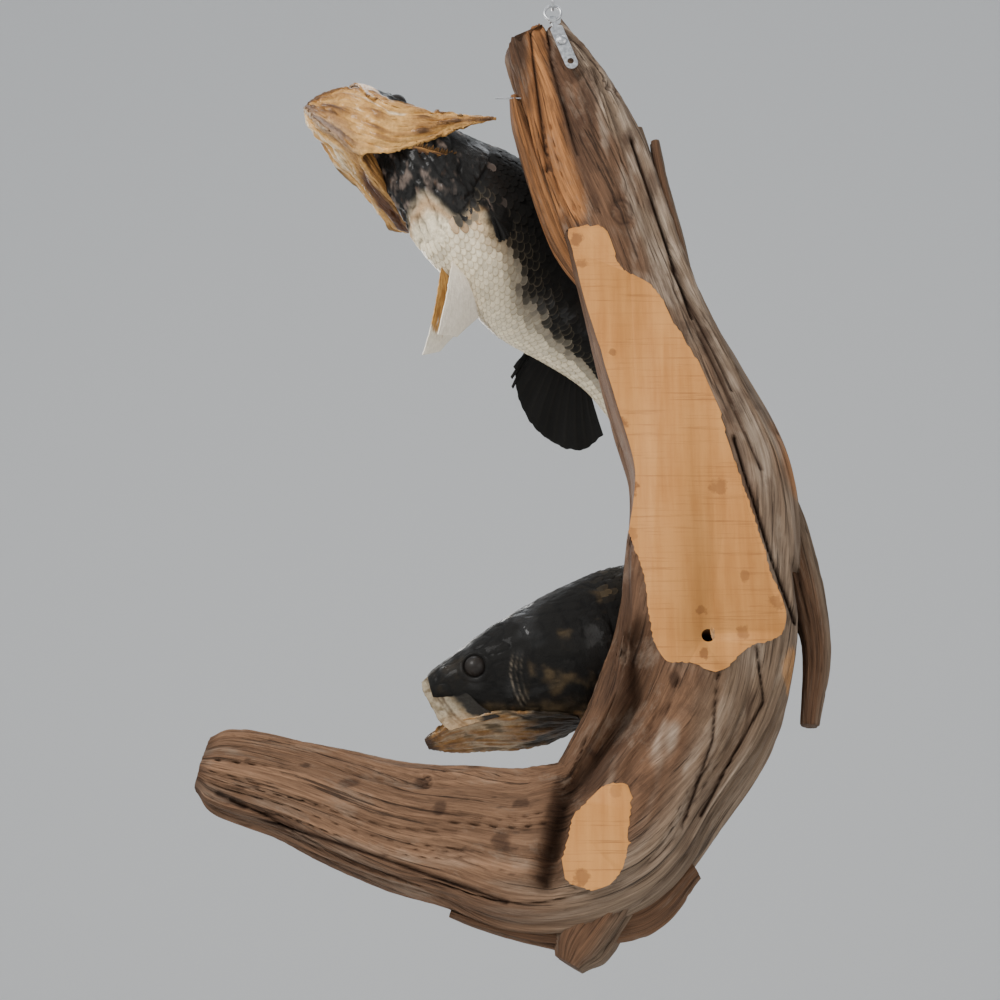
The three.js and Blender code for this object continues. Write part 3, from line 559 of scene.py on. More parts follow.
def woodShell(stations, rings, sides, seed, isTrunk, isOrange=False):
    # a limb swept along its stations, with folds, fibres, checks and cracks
    rows = np.array(stations, float)
    order = np.arange(len(rows))
    s = np.linspace(0, len(rows) - 1, rings + 1)[:, None]
    read = lambda k, at: hermite(np.stack([order, rows[:, k]], 1), at)
    step = 0.05
    wayX = read(0, s + step) - read(0, s - step)
    wayZ = read(1, s + step) - read(1, s - step)
    size = np.hypot(wayX, wayZ)
    wayX, wayZ = wayX / size, wayZ / size
    travel = np.concatenate([[0], np.cumsum(np.hypot(np.diff(read(0, s)[:, 0]), np.diff(read(1, s)[:, 0])))])[:, None]
    a = circle(sides)
    wide, deep = read(2, s), read(4, s)
    ridge = 1 + 0.035 * np.sin(3 * a + 1.3 * s) + 0.025 * np.sin(7 * a - 0.8 * s)
    twist = 0.6 * np.sin(travel / 260)
    around = stack(np.cos(a + twist), np.sin(a + twist), 0 * s)
    point = lambda k, length, shift=0: stack(around[..., 0] * k, around[..., 1] * k, travel / length + shift)
    fold = layeredNoise(point(2.2, 170), seed, 3)
    ribs = layeredNoise(point(8, 170, 9), seed + 5, 3)
    fibre = layeredNoise(point(30, 60, 4), seed + 9, 2)
    split = latticeNoise(point(5.5, 150, 2), seed + 13)
    splitMore = latticeNoise(point(13, 110, 6), seed + 14)
    check = np.exp(-(split / 0.04) ** 2) * ramp(-0.1, 0.5, latticeNoise(point(2.5, 60, 7), seed + 17))
    fineCheck = 0.6 * np.exp(-(splitMore / 0.07) ** 2) * ramp(0, 0.5, latticeNoise(point(4, 45, 3), seed + 18))
    check = np.maximum(check, fineCheck)
    relief = wood["fold"] * fold + wood["ridge"] * ribs + wood["fibre"] * fibre - wood["check"] * check
    relief = relief * np.minimum(1, np.minimum(wide, deep) / 22)
    swell = relief * (ramp(-0.02, 0.25, s) * 0.75 + 0.25) if isTrunk else relief
    across = (wide * ridge + swell) * signedPower(np.cos(a), 0.82)
    depth = (deep * ridge + swell) * signedPower(np.sin(a), 0.82)
    x = read(0, s) - wayZ * across
    z = read(1, s) + wayX * across
    y = read(3, s) + depth
    right, front = np.cos(a) + 0 * s, -np.sin(a) + 0 * s
    flat = np.stack([x.ravel(), z.ravel()], 1)
    crackShade = np.zeros(x.shape)
    for line, width, sink in wood["cracks"]:
        drift = 0.5 * width * layeredNoise(stack(x / 14, z / 22, 0 * x + width), 91, 2)
        near = np.exp(-((distanceTo(flat, line).reshape(x.shape) + drift) / width) ** 2)
        hold = ramp(0.0, 0.25, front)
        y = y + (sink if isTrunk else 0) * near * hold
        crackShade = np.maximum(crackShade, near * hold * (1 if width < 3 else 0.35))
    if isTrunk:
        y, z = sawnRelief((x, z, s, a, flat, right, front, point), y, relief)
    vertices, faces = gridShell(stack(x, y, z))
    paint = woodPaint((x, z, s, a, flat, right, front, point), seed, isTrunk, isOrange)
    paint = paint * (1 + 0.35 * ribs[..., None] + 0.18 * fibre[..., None])
    # painted shade inside the checks and the dug-in cracks and folds
    paint = blend(paint, woodColours["dark"], np.clip(0.8 * check + 0.9 * crackShade, 0, 0.92))
    turned = a + 0.25 * latticeNoise(point(1.2, 200, 8), seed + 41)
    place = stack(np.cos(turned) * 7, travel * 0.1, np.sin(turned) * 7)
    return {"vertices": vertices, "faces": faces, "paint": paint.reshape(-1, 3), "place": place.reshape(-1, 3)}


def sawBack(made):
    # cuts the flat back and gives the cut its own finish
    made.data.materials.append(finishes["sawn"])
    cut = wood["backPlane"] * mm
    plane = {"plane_co": (0, cut, 0), "plane_no": (0, 1, 0), "use_fill": True, "clear_inner": True}
    editAll(made, (bpy.ops.mesh.bisect, plane))
    for face in made.data.polygons:
        flat = face.normal.y < -0.999 and abs(face.center.y - cut) < 2e-5
        face.material_index = 1 if flat else 0
        face.use_smooth = not flat
    selectOnly(made)
    bpy.ops.object.shade_smooth_by_angle(angle=radians(wood["smoothAngle"]))


def drill(made):
    hole = wood["hole"]
    where = (hole["x"] * mm, 0, hole["z"] * mm)
    bpy.ops.mesh.primitive_cylinder_add(vertices=40, radius=hole["radius"] * mm, depth=2 * hole["depth"] * mm,
                                        location=where, rotation=(pi / 2, 0, 0))
    bit = bpy.context.object
    selectOnly(made)
    cut = made.modifiers.new("drilled", "BOOLEAN")
    cut.operation, cut.object, cut.solver = "DIFFERENCE", bit, "FAST"
    bpy.ops.object.modifier_apply(modifier=cut.name)
    bpy.data.objects.remove(bit)
    made.data.materials.append(finishes["bore"])
    reach = hole["radius"] * mm * 1.02
    for face in made.data.polygons:
        near = ((face.center.x - where[0]) ** 2 + (face.center.z - where[2]) ** 2) ** 0.5 < reach
        if near and face.center.y > wood["backPlane"] * mm + 1e-5:
            face.material_index = len(made.data.materials) - 1
            face.use_smooth = True


def splinters():
    # torn wedges of wood standing in the drilled hole
    shells = []
    for x, z, length, lean in ((115, -632, 14, 2), (117, -634, 10, 1)):
        t, a = np.linspace(0, 1, 9)[:, None], circle(8)
        thin = 1.3 * np.sin(pi * np.clip(t, 0.02, 0.98)) ** 0.5
        points = stack(x + lean * t + thin * np.cos(a), 1.9 + 0.8 * np.sin(a) * thin, z - length * t + 0 * a)
        vertices, faces = gridShell(points)
        tone = np.array(woodColours["sawn"]) * (0.75 + 0.3 * np.abs(np.sin(a + 3 * t)))[..., None]
        shells.append({"vertices": vertices, "faces": faces, "paint": tone.reshape(-1, 3)})
    return shells


def makeNail():
    size = {"radius": 0.7 * mm, "depth": 22 * mm}
    bpy.ops.mesh.primitive_cylinder_add(vertices=16, **size)
    nail = bpy.context.object
    editAll(nail, (bpy.ops.transform.rotate, {"value": pi / 2, "orient_axis": "Y", "center_override": (0, 0, 0)}),
            (bpy.ops.transform.translate, {"value": (-38 * mm, 25 * mm, -162 * mm)}))
    nail.name = "nail"
    nail.data.materials.append(finishes["steel"])
    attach(nail, "root")


def makeDriftwood():
    trunk = makeObject("driftwoodTrunk", [woodShell(wood["stations"], wood["rings"], wood["sides"], 3, True)],
                       finishes["wood"])
    seeds = {"slab": 41, "flange": 51, "lump": 61, "splinter": 43, "shard": 45, "layer": 47, "sliver": 53}
    limbs = [woodShell(wood["limbs"][name], 90, 72, seed, False, name == "layer") for name, seed in seeds.items()]
    limb = makeObject("driftwoodLimbs", limbs + splinters(), finishes["wood"])
    makeNail()
    sawBack(trunk)
    drill(trunk)
    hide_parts("driftwood")
    for made in (trunk, limb):
        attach(made, "root")


makeDriftwood()
print("driftwood made")


# bass

bass = {
    "back": [(0, 0.014), (0.02, 0.028), (0.05, 0.04), (0.1, 0.06), (0.2, 0.092), (0.3, 0.12), (0.36, 0.128),
        (0.45, 0.122), (0.55, 0.1), (0.65, 0.074), (0.72, 0.058), (0.78, 0.052), (0.84, 0.057)],
    "belly": [(0, 0.012), (0.05, 0.052), (0.1, 0.078), (0.2, 0.112), (0.3, 0.133), (0.4, 0.145), (0.5, 0.138),
        (0.58, 0.115), (0.7, 0.06), (0.77, 0.05), (0.84, 0.055)],
    "half": [(0, 0.02), (0.015, 0.034), (0.04, 0.044), (0.06, 0.049), (0.1, 0.056), (0.2, 0.074), (0.27, 0.08),
        (0.35, 0.08), (0.45, 0.073), (0.55, 0.058), (0.65, 0.04), (0.72, 0.028), (0.78, 0.02), (0.84, 0.011)],
    "headEnd": 0.28, "bodyEnd": 0.84,
    "eye": {"x": 0.086, "y": 0.043, "z": 0.019, "radius": 0.0172},
    "analTips": [(0.6, 0, -0.136), (0.645, 0, -0.16), (0.69, 0, -0.171), (0.735, 0, -0.169), (0.775, 0, -0.152),
        (0.8, 0, -0.118), (0.795, 0, -0.075)],
    "rings": 300, "sides": 190, "length": 510, "headFade": (0.27, 0.31),
}
# the raised lines behind the eye: first place, spacing, bow and the height that they bow about
gill = {"lines": 3, "start": 0.128, "pitch": 0.0065, "bow": 5, "level": 0.02}

firstBass = {
    "name": "first", "length": 510, "place": (-67.3, 78.5, -238.5), "turn": (32.5, 24.1, 0.3),
    "bend": {"headYaw": 38, "rearYaw": 16, "tailYaw": -15, "rearPitch": 15, "headRoll": 37, "rearRoll": 53,
             "headPitch": -30},
    "core": [(0, 0.014), (0.02, 0.026), (0.06, 0.038), (0.12, 0.048), (0.17, 0.07), (0.22, 0.096), (0.28, 0.1285)],
    "snout": 0.002,
    "jawLeft": [(0.04, -0.01, -0.128), (0.04, -0.034, -0.09), (0.058, -0.055, -0.06), (0.12, -0.077, -0.056),
        (0.16, -0.095, -0.013), (0.195, -0.11, 0.024), (0.24, -0.124, 0.07)],
    "throatLeft": [(0.037, 0, -0.134), (0.09, 0, -0.146), (0.139, 0, -0.126), (0.168, -0.03, -0.092),
        (0.192, -0.07, -0.042), (0.208, -0.1, 0.008), (0.233, -0.121, 0.06)],
    "jawRight": [(0.036, 0.01, -0.128), (0.071, 0.032, -0.12), (0.099, 0.06, -0.083), (0.134, 0.085, -0.04),
        (0.18, 0.104, -0.036), (0.222, 0.12, -0.028), (0.282, 0.12, -0.009)],
    "throatRight": [(0.037, 0, -0.134), (0.09, 0, -0.146), (0.139, 0, -0.126), (0.161, 0.03, -0.085),
        (0.21, 0.056, -0.056), (0.248, 0.086, -0.04), (0.28, 0.118, -0.015)],
    "chamberRight": [(0.06, 0, -0.1), (0.1, 0.005, -0.085), (0.139, 0.015, -0.07), (0.175, 0.035, -0.06),
        (0.215, 0.048, -0.068), (0.25, 0.055, -0.08), (0.275, 0.06, -0.09)],
    "lipHigh": [(0.004, -0.004, 0.008), (0.02, -0.034, 0.0), (0.05, -0.05, -0.014), (0.085, -0.057, -0.03),
        (0.115, -0.063, -0.05)],
    "lipLow": [(-0.002, -0.003, -0.012), (0.014, -0.033, -0.022), (0.045, -0.051, -0.042), (0.08, -0.06, -0.07),
        (0.1, -0.064, -0.086)],
    "pelvicLeft": [(0.309, -0.018, -0.125), (0.344, -0.035, -0.272), (0.414, -0.03, -0.168)],
    "pelvicRight": [(0.305, 0.012, -0.125), (0.361, 0.02, -0.281), (0.418, 0.02, -0.18)],
    # how far down the black runs
    "darkEdge": [(0.24, -0.36), (0.31, -0.48), (0.4, -0.57), (0.5, -0.52), (0.6, -0.46), (0.84, -0.4)],
    "flared": True, "lipTone": "tan", "swell": 0.07,
}
secondBass = {
    "name": "second", "length": 510, "place": (41.5, 95.3, -627.9), "turn": (29, -13, 17),
    "bend": {"headYaw": 29, "rearYaw": 30, "tailYaw": 15, "rearPitch": 6, "headRoll": 3, "rearRoll": 0,
             "headPitch": 13},
    "core": [(0, 0.012), (0.03, 0.028), (0.05, 0.048), (0.08, 0.07), (0.12, 0.088), (0.2, 0.108), (0.28, 0.1285)],
    "snout": 0.012,
    "jawLeft": [(-0.019, -0.006, -0.071), (0.002, -0.025, -0.063), (0.022, -0.041, -0.057),
        (0.055, -0.052, -0.053), (0.091, -0.059, -0.054), (0.129, -0.063, -0.062), (0.162, -0.062, -0.072),
        (0.215, -0.05, -0.09)],
    "throatLeft": [(-0.018, 0, -0.085), (0.01, 0, -0.097), (0.04, 0, -0.106), (0.073, 0, -0.114),
        (0.12, 0, -0.125), (0.161, -0.006, -0.129), (0.2, -0.014, -0.122), (0.24, -0.02, -0.11)],
    "lipHigh": [(0.02, -0.003, 0.024), (0.04, -0.026, 0.014), (0.054, -0.04, 0.0), (0.068, -0.049, -0.022),
        (0.082, -0.055, -0.044), (0.1, -0.06, -0.062)],
    "lipLow": [(0.002, -0.003, 0.014), (0.0, -0.014, 0.004), (0.003, -0.022, -0.01), (0.008, -0.032, -0.028),
        (0.012, -0.04, -0.046), (0.024, -0.047, -0.064)],
    "pelvicLeft": [(0.309, -0.018, -0.125), (0.35, -0.04, -0.22), (0.42, -0.034, -0.16)],
    "darkEdge": [(0.28, -0.8), (0.84, -0.7)],
    "flared": False, "lipTone": "paper", "swell": 0.04,
}
for part in ("jaw", "throat", "pelvic"):
    secondBass[part + "Right"] = [(x, -y, z) for x, y, z in secondBass[part + "Left"]]

fishColours = {
    "black": (0.005, 0.0045, 0.0038), "back": (0.016, 0.013, 0.008), "cream": (0.90, 0.80, 0.60),
    "tan": (0.40, 0.200, 0.060), "ochre": (0.64, 0.365, 0.115), "brown": (0.085, 0.038, 0.014),
    "paper": (0.95, 0.90, 0.78), "umber": (0.040, 0.022, 0.014), "olive": (0.115, 0.08, 0.04),
    "ash": (0.26, 0.22, 0.17), "mauve": (0.26, 0.20, 0.17), "hollowShade": (0.060, 0.018, 0.008),
}


def turnMatrix(yaw, pitch, roll):
    yaw, pitch, roll = [np.radians(np.asarray(v, float)) for v in (yaw, pitch, roll)]
    cz, sz, cy, sy, cx, sx = np.cos(yaw), np.sin(yaw), np.cos(pitch), np.sin(pitch), np.cos(roll), np.sin(roll)
    rows = [stack(cz * cy, cz * sy * sx - sz * cx, cz * sy * cx + sz * sx),
            stack(sz * cy, sz * sy * sx + cz * cx, sz * sy * cx - cz * sx),
            stack(-sy, cy * sx, cy * cx)]
    return np.stack(rows, -2)


def makePose(fish):
    # carries points of a straight fish into its bent pose; x runs to the tail, z to the back
    bend, length = fish["bend"], fish["length"]
    start, step, count = -0.05, 0.02, 56
    x = start + step * np.arange(count)
    front, neck = 1 - ramp(0.05, 0.3, x), 1 - ramp(0.08, 0.32, x)
    yaw = -bend["headYaw"] * front + bend["rearYaw"] * ramp(0.3, 0.62, x) + bend["tailYaw"] * ramp(0.6, 0.95, x)
    pitch = bend["rearPitch"] * ramp(0.3, 0.7, x) - bend["headPitch"] * neck
    roll = -bend["headRoll"] * neck + bend["rearRoll"] * ramp(0.3, 0.65, x)
    turns = turnMatrix(*fish["turn"]) @ turnMatrix(yaw, pitch, roll)
    tailward = turns[:, :, 0]
    mean = 0.5 * step * length * (tailward[1:] + tailward[:-1])
    axis = np.concatenate([np.zeros((1, 3)), np.cumsum(mean, 0)])
    axis += np.array(fish["place"]) - axis[round((0.3 - start) / step)]

    def pose(points):
        points = np.asarray(points, float)
        f = np.clip((points[..., 0] - start) / step, 0, count - 1.001)
        i = np.floor(f).astype(int)
        w = (f - i)[..., None]
        turn = turns[i] * (1 - w[..., None]) + turns[i + 1] * w[..., None]
        centre = axis[i] * (1 - w) + axis[i + 1] * w
        return centre + (turn[..., 1] * points[..., 1:2] + turn[..., 2] * points[..., 2:3]) * length
    return pose


def curveThrough(points, t):
    # even Catmull-Rom curve through the points
    p = np.asarray(points, float)
    p = np.concatenate([[2 * p[0] - p[1]], p, [2 * p[-1] - p[-2]]])
    f = np.clip(np.asarray(t, float), 0, 1) * (len(p) - 3)
    i = np.clip(np.floor(f).astype(int), 0, len(p) - 4)
    w = (f - i)[..., None]
    a, b, c, d = p[i], p[i + 1], p[i + 2], p[i + 3]
    return 0.5 * (2 * b + (c - a) * w + (2 * a - 5 * b + 4 * c - d) * w ** 2 + (3 * b - a - 3 * c + d) * w ** 3)


def bodyPoint(fish, x, a, grow=0.0):
    # closed body surface at distance x and angle a up from the right side; grow is in body lengths
    under = np.where(x < bass["headEnd"], hermite(fish["core"], x), hermite(bass["belly"], x))
    rise = np.where(np.sin(a) > 0, hermite(bass["back"], x), under)
    y = (hermite(bass["half"], x) + grow) * signedPower(np.cos(a), 0.92)
    z = (rise + grow) * signedPower(np.sin(a), 0.92)
    return stack(x + 0 * a, y, z)


def gillLine(z, k):
    return gill["start"] + gill["pitch"] * k + gill["bow"] * (z + gill["level"]) ** 2


def bodyPaint(fish, x, a, flat):
    # colour and gloss of the skin; the same for the scales
    c = fishColours
    height = np.sin(a)
    wander = layeredNoise(flat * 22, 5, 3)
    fine = layeredNoise(flat * 90, 9, 3)
    edge = hermite(fish["darkEdge"], x)
    dark = ramp(-0.19, 0.17, height - edge + 0.12 * wander + 0.09 * fine)
    rim = np.exp(-((height - edge + 0.15 * wander + 0.03) / 0.1) ** 2)
    paint = coats(blend(c["cream"], c["black"], dark), c, ("back", 0.6 * ramp(0.3, 0.8, height) + 0 * x),
                  ("ochre", (0.38 if fish["flared"] else 0.1) * rim * ramp(0.42, 0.3, x)),
                  ("ash", 0.5 * rim * ramp(0.3, 0.42, x)))
    if fish["flared"]:
        mouth = 0.284 - 0.05 * ramp(-0.6, -0.99, height) + 0.04 * ramp(-0.45, -0.25, height)
        behind = x - mouth + 0.012 * wander
        tone = blend(c["black"], c["mauve"], 0.55 * ramp(0.25, 0.7, fine + 0.6 * wander))
        speckle = ramp(0.45, 0.7, layeredNoise(flat * 130, 19, 2)) * ramp(0.42, 0.33, x)
        keel = bump(height, -1, 0.012) * ramp(0.36, 0.4, x)
        paint = coats(blend(paint, tone, 1 - ramp(-0.012, 0.012, behind)), c,
                      ("tan", 0.7 * bump(behind, 0.006, 0.007) * ramp(-0.3, -0.55, height)),
                      ("brown", 0.5 * speckle * (1 - dark)), ("brown", 0.5 * keel))
    else:
        cover = ramp(0.128, 0.15, x)
        tone = blend(c["black"], c["olive"], ramp(0.0, 0.6, wander + 0.4 * fine) * (0.12 + 0.5 * cover))
        tone = coats(tone, c, ("olive", 0.7 * ramp(-0.45, -0.8, height + 0.15 * wander + 0.1 * fine)),
                     ("tan", 0.35 * ramp(0.3, 0.7, fine + 0.5 * wander) * ramp(-0.5, -0.8, height)),
                     ("black", 0.8 * bump(height, 0.1, 0.35) * bump(x, 0.1, 0.04)))
        z = flat[..., 2]
        for k in range(gill["lines"]):
            line = bump(x, gillLine(z, k) + 0.0016 * wander, 0.0011)
            line = line * ramp(-0.062 + 0.006 * k, -0.045, z) * ramp(0.032, 0.01 - 0.006 * k, z)
            tone = blend(tone, c["ash"], (0.55 - 0.14 * k) * line * ramp(-0.2, 0.4, fine + 0.2))
        paint = blend(paint, tone, 1 - ramp(*bass["headFade"], x + 0.02 * wander))
    glint = ramp(0.05, 0.5, layeredNoise(flat * 24, 45, 3))
    return paint, 0.12 + 0.6 * dark * glint + 0.4 * (1 - dark)


def bodyShell(fish, pose):
    # one closed skin: folds and puckers on the head, eye sockets, nostrils, gill lines, the cover's edge
    u = np.linspace(0, 1, bass["rings"] + 1)[:, None]
    x = fish["snout"] + (bass["bodyEnd"] - fish["snout"]) * (0.75 * u + 0.25 * u * u)
    a = circle(bass["sides"])
    flat = bodyPoint(fish, x, a)
    wander = layeredNoise(flat * 30, 35, 3)
    fine = layeredNoise(flat * 120, 9, 3)
    height = np.sin(a)
    crease = latticeNoise(flat * np.array([40, 75, 75.0]), 15)
    pucker = np.exp(-(crease / 0.1) ** 2)
    head = 1 - ramp(*bass["headFade"], x)
    relief = 0.0009 * fine + head * (0.0012 * wander - 0.0011 * pucker)
    if fish["flared"]:
        folds = latticeNoise(flat * np.array([26, 60, 60.0]), 65) + 0.5 * latticeNoise(flat * 150, 66)
        chamber = head * ramp(0.15, -0.3, height) * ramp(0.1, 0.14, x)
        relief += chamber * (0.0042 * folds - 0.004 * pucker + 0.0016 * fine)
        lump = np.exp(-((x - 0.325) / 0.03) ** 2 - ((flat[..., 2] + 0.05) / 0.022) ** 2)
        relief += lump * (0.010 + 0.006 * folds)
    eye = bass["eye"]
    radius = eye["radius"]
    for side in (-1, 1):
        away = np.linalg.norm(flat - np.array([eye["x"], side * eye["y"], eye["z"]]), axis=-1)
        relief += 0.0030 * bump(away, radius * 1.22, 0.004) - 0.005 * ramp(radius * 1.1, radius * 0.9, away)
        nostril = np.linalg.norm(flat - np.array([0.045, side * 0.03, 0.026]), axis=-1)
        relief += 0.0012 * bump(nostril, 0.0045, 0.0016) - 0.003 * bump(nostril, 0, 0.0028)
    z = flat[..., 2]
    for k in range(gill["lines"]):
        relief += 0.0020 * (bump(x, gillLine(z, k), 0.0018) * ramp(-0.066, -0.045, z) * ramp(0.04, 0.015, z))
    behind = x - (0.272 - 1.6 * (z + 0.012) ** 2)
    step = ramp(-0.03, 0.0, behind) * (1 - ramp(0.0, 0.003, behind))
    relief += 0.005 * step * ramp(-0.1, -0.05, z) * ramp(0.06, 0.03, z)
    vertices, faces = gridShell(pose(bodyPoint(fish, x, a, relief - 0.0010 * ramp(0.262, 0.285, x))))
    paint, gloss = bodyPaint(fish, x, a, flat)
    # painted shade in the head's puckers, which the relief digs in
    paint = paint * (1 - 0.55 * head * pucker)[..., None]
    return {"vertices": vertices, "faces": faces, "paint": paint.reshape(-1, 3), "gloss": gloss.ravel()}


def stripShell(pose, edges, span, size, thickness, paintOf, seed, swell=0.0, ragged=0.0, ridges=0.0, curl=0.0):
    # a dried plate between two curves, ridged along its length
    u, v = gridSteps(*size)
    t = span[0] + (span[1] - span[0]) * u + 0 * v
    place = v * (len(edges) - 1) + 0 * u
    k = np.minimum(np.floor(place).astype(int), len(edges) - 2)
    lines = np.stack([curveThrough(edge, t) for edge in edges])
    low = np.take_along_axis(lines, k[None, ..., None], 0)[0]
    high = np.take_along_axis(lines, k[None, ..., None] + 1, 0)[0]
    w = place - k
    width = np.linalg.norm(high - low, axis=-1)
    point = low * (1 - w[..., None]) + high * w[..., None]
    point[..., 2] -= swell * width * np.sin(pi * w)
    grid = stack(t * 5, place * 3, 0 * t + seed)
    drift = 0.2 * latticeNoise(grid * np.array([0.7, 0.8, 1]), seed + 3)
    main = np.clip(0.6 + 0.75 * layeredNoise(stack(t * 2.2, (place + drift) * 8, 0 * t + seed), seed + 2, 2), 0, 1.2)
    thread = layeredNoise(stack(t * 6, (place + drift) * 26, 0 * t + seed), seed + 4, 2)
    crumple = layeredNoise(grid * np.array([2.2, 2.5, 1]), seed, 3)
    room = np.minimum(1, width / 0.035)
    push = ridges * room * (0.55 * (main - 0.6) + 0.28 * thread + 0.7 * crumple)
    if curl:
        push += curl * room * (np.exp(-v * 14) * (0.7 + 0.6 * latticeNoise(stack(t * 9, 0 * t, 0 * t), seed + 8)))
    if ragged:
        edge = np.abs(2 * v - 1) ** 8
        wobble = layeredNoise(stack(t * 24, np.round(v) * 5 + 0 * t, 0 * t), seed + 7, 3)
        way = high - low
        outward = np.sign(v - 0.5 + 1e-9)[..., None]
        point += (ragged * edge * wobble)[..., None] * outward * way / np.maximum(width, 1e-6)[..., None]
    posed = pose(point)
    posed = posed + sheetNormal(posed) * (push * bass["length"])[..., None]
    vertices, faces = thickSheet(posed, thickness)
    tone = 1.1 * (main - 0.6) + 0.75 * thread + 0.7 * crumple
    twice = lambda q: np.tile(q.ravel(), 2)
    paint, gloss = paintOf(twice(t), twice(place / (len(edges) - 1)), twice(tone), twice(crumple))
    return {"vertices": vertices, "faces": faces, "paint": paint, "gloss": gloss}


def platePaint(t, v, tone, crumple):
    # dried jaw and gill plates: ochre and cream with dark rims; the cream and brown streaks follow the ridge noise,
    # partly the skin's colour, partly painted highlight along the ridges and painted shade between them
    c = fishColours
    streak = tone + 0.35 * bump(t, 0.3, 0.16) * bump(v, 0.4, 0.3)
    paint = coats(blend(c["tan"], c["ochre"], ramp(-0.4, 0.35, tone)), c, ("cream", 0.7 * ramp(0.55, 1.1, streak)),
                  ("brown", 0.9 * ramp(-0.22, -0.72, tone)),
                  ("umber", 0.75 * ramp(0.07, 0.0, v) * ramp(-0.6, 0.4, crumple + 0.6 * bump(t, 0.75, 0.25))),
                  ("umber", 0.8 * ramp(0.05, 0.0, t)), ("mauve", 0.65 * ramp(0.6, 0.95, v) * ramp(0.42, 0.25, t)))
    return paint, 0.8


def rightPlatePaint(t, v, tone, crumple):
    # the far gill cover, with painted shade in its recess
    paint, gloss = platePaint(t, v, tone, crumple)
    hollowShade = bump(v + 0.05 * crumple, 0.62, 0.24) * ramp(0.42, 0.55, t) * ramp(1.0, 0.9, t)
    return blend(paint, fishColours["hollowShade"], 0.95 * np.clip(1.5 * hollowShade, 0, 1)), gloss


def lowerPlatePaint(t, v, tone, crumple):
    # the lower bass's jaw: olive and cream, dark at the tip, browner behind, and black towards the rear as painted
    # shadow under the body
    c = fishColours
    return coats(blend(c["tan"], c["cream"], 0.6 * ramp(-0.3, 0.6, tone)), c,
                 ("olive", 0.35 + 0.5 * ramp(0.1, 0.6, crumple) + 0.1 * ramp(0.3, 0.8, t)),
                 ("brown", 0.8 * ramp(-0.35, -0.9, tone)), ("umber", 0.9 * ramp(0.13, 0.04, t)),
                 ("black", 0.9 * ramp(0.5, 0.85, t + 0.15 * crumple))), 0.5


def lipPaint(t, v, tone, crumple):
    c = fishColours
    fade = v + 0.16 * crumple + 0.1 * ramp(0.5, 1.0, t)
    return coats(blend(c["cream"], c["olive"], 0.68 + 0.25 * ramp(-0.2, 0.6, crumple)), c,
                 ("umber", 0.7 * bump(v + 0.04 * crumple, 0.62, 0.05) + 0.5 * bump(v, 0.72, 0.025)),
                 ("tan", 0.4 * ramp(0.65, 1.0, t)), ("black", 0.97 * ramp(0.58, 0.3, fade))), 0.4


def paperPaint(t, v, tone, crumple):
    c = fishColours
    paint = blend(c["paper"], c["ochre"], 0.10 + 0.25 * ramp(0.22, 0, t))
    return blend(paint, c["brown"], 0.45 * bump(tone, 1.25, 0.08)), 0.12


def tanPaperPaint(t, v, tone, crumple):
    c = fishColours
    paint = blend(c["ochre"], c["tan"], ramp(-0.3, 0.5, tone))
    return blend(paint, c["paper"], ramp(0.66, 0.8, t + 0.15 * crumple)), 0.15


def combPaint(t, v, tone, crumple):
    return blend(fishColours["brown"], fishColours["tan"], ramp(-0.4, 0.7, tone)), 0.6


def finShell(pose, roots, tips, rays, thickness, notch=0.0, size=(26, 110), fray=0.0):
    # a fin between a root curve and a tip curve, ribbed by its rays
    u, v = gridSteps(*size)
    root, tip = roots(v + 0 * u), tips(v + 0 * u)
    wave = np.abs(np.cos(pi * rays * v))
    torn = fray * layeredNoise(stack(v * 30, 0 * v, 0 * v), 3, 3)
    reach = u * (1 - notch * (1 - wave) ** 1.5 + torn)
    point = root * (1 - reach[..., None]) + tip * reach[..., None]
    point[..., 1] += (0.0028 * np.sin(9 * v + 2 * u) + 0.002 * np.sin(23 * v)) * u
    body = thickness * (0.55 + 0.9 * wave ** 8 * (1 - 0.6 * u))
    vertices, faces = thickSheet(pose(point), body)
    paint = blend(fishColours["black"], fishColours["back"], 0.2 * np.tile((wave ** 6 + 0 * u).ravel(), 2))
    return {"vertices": vertices, "faces": faces, "paint": paint, "gloss": 0.2}


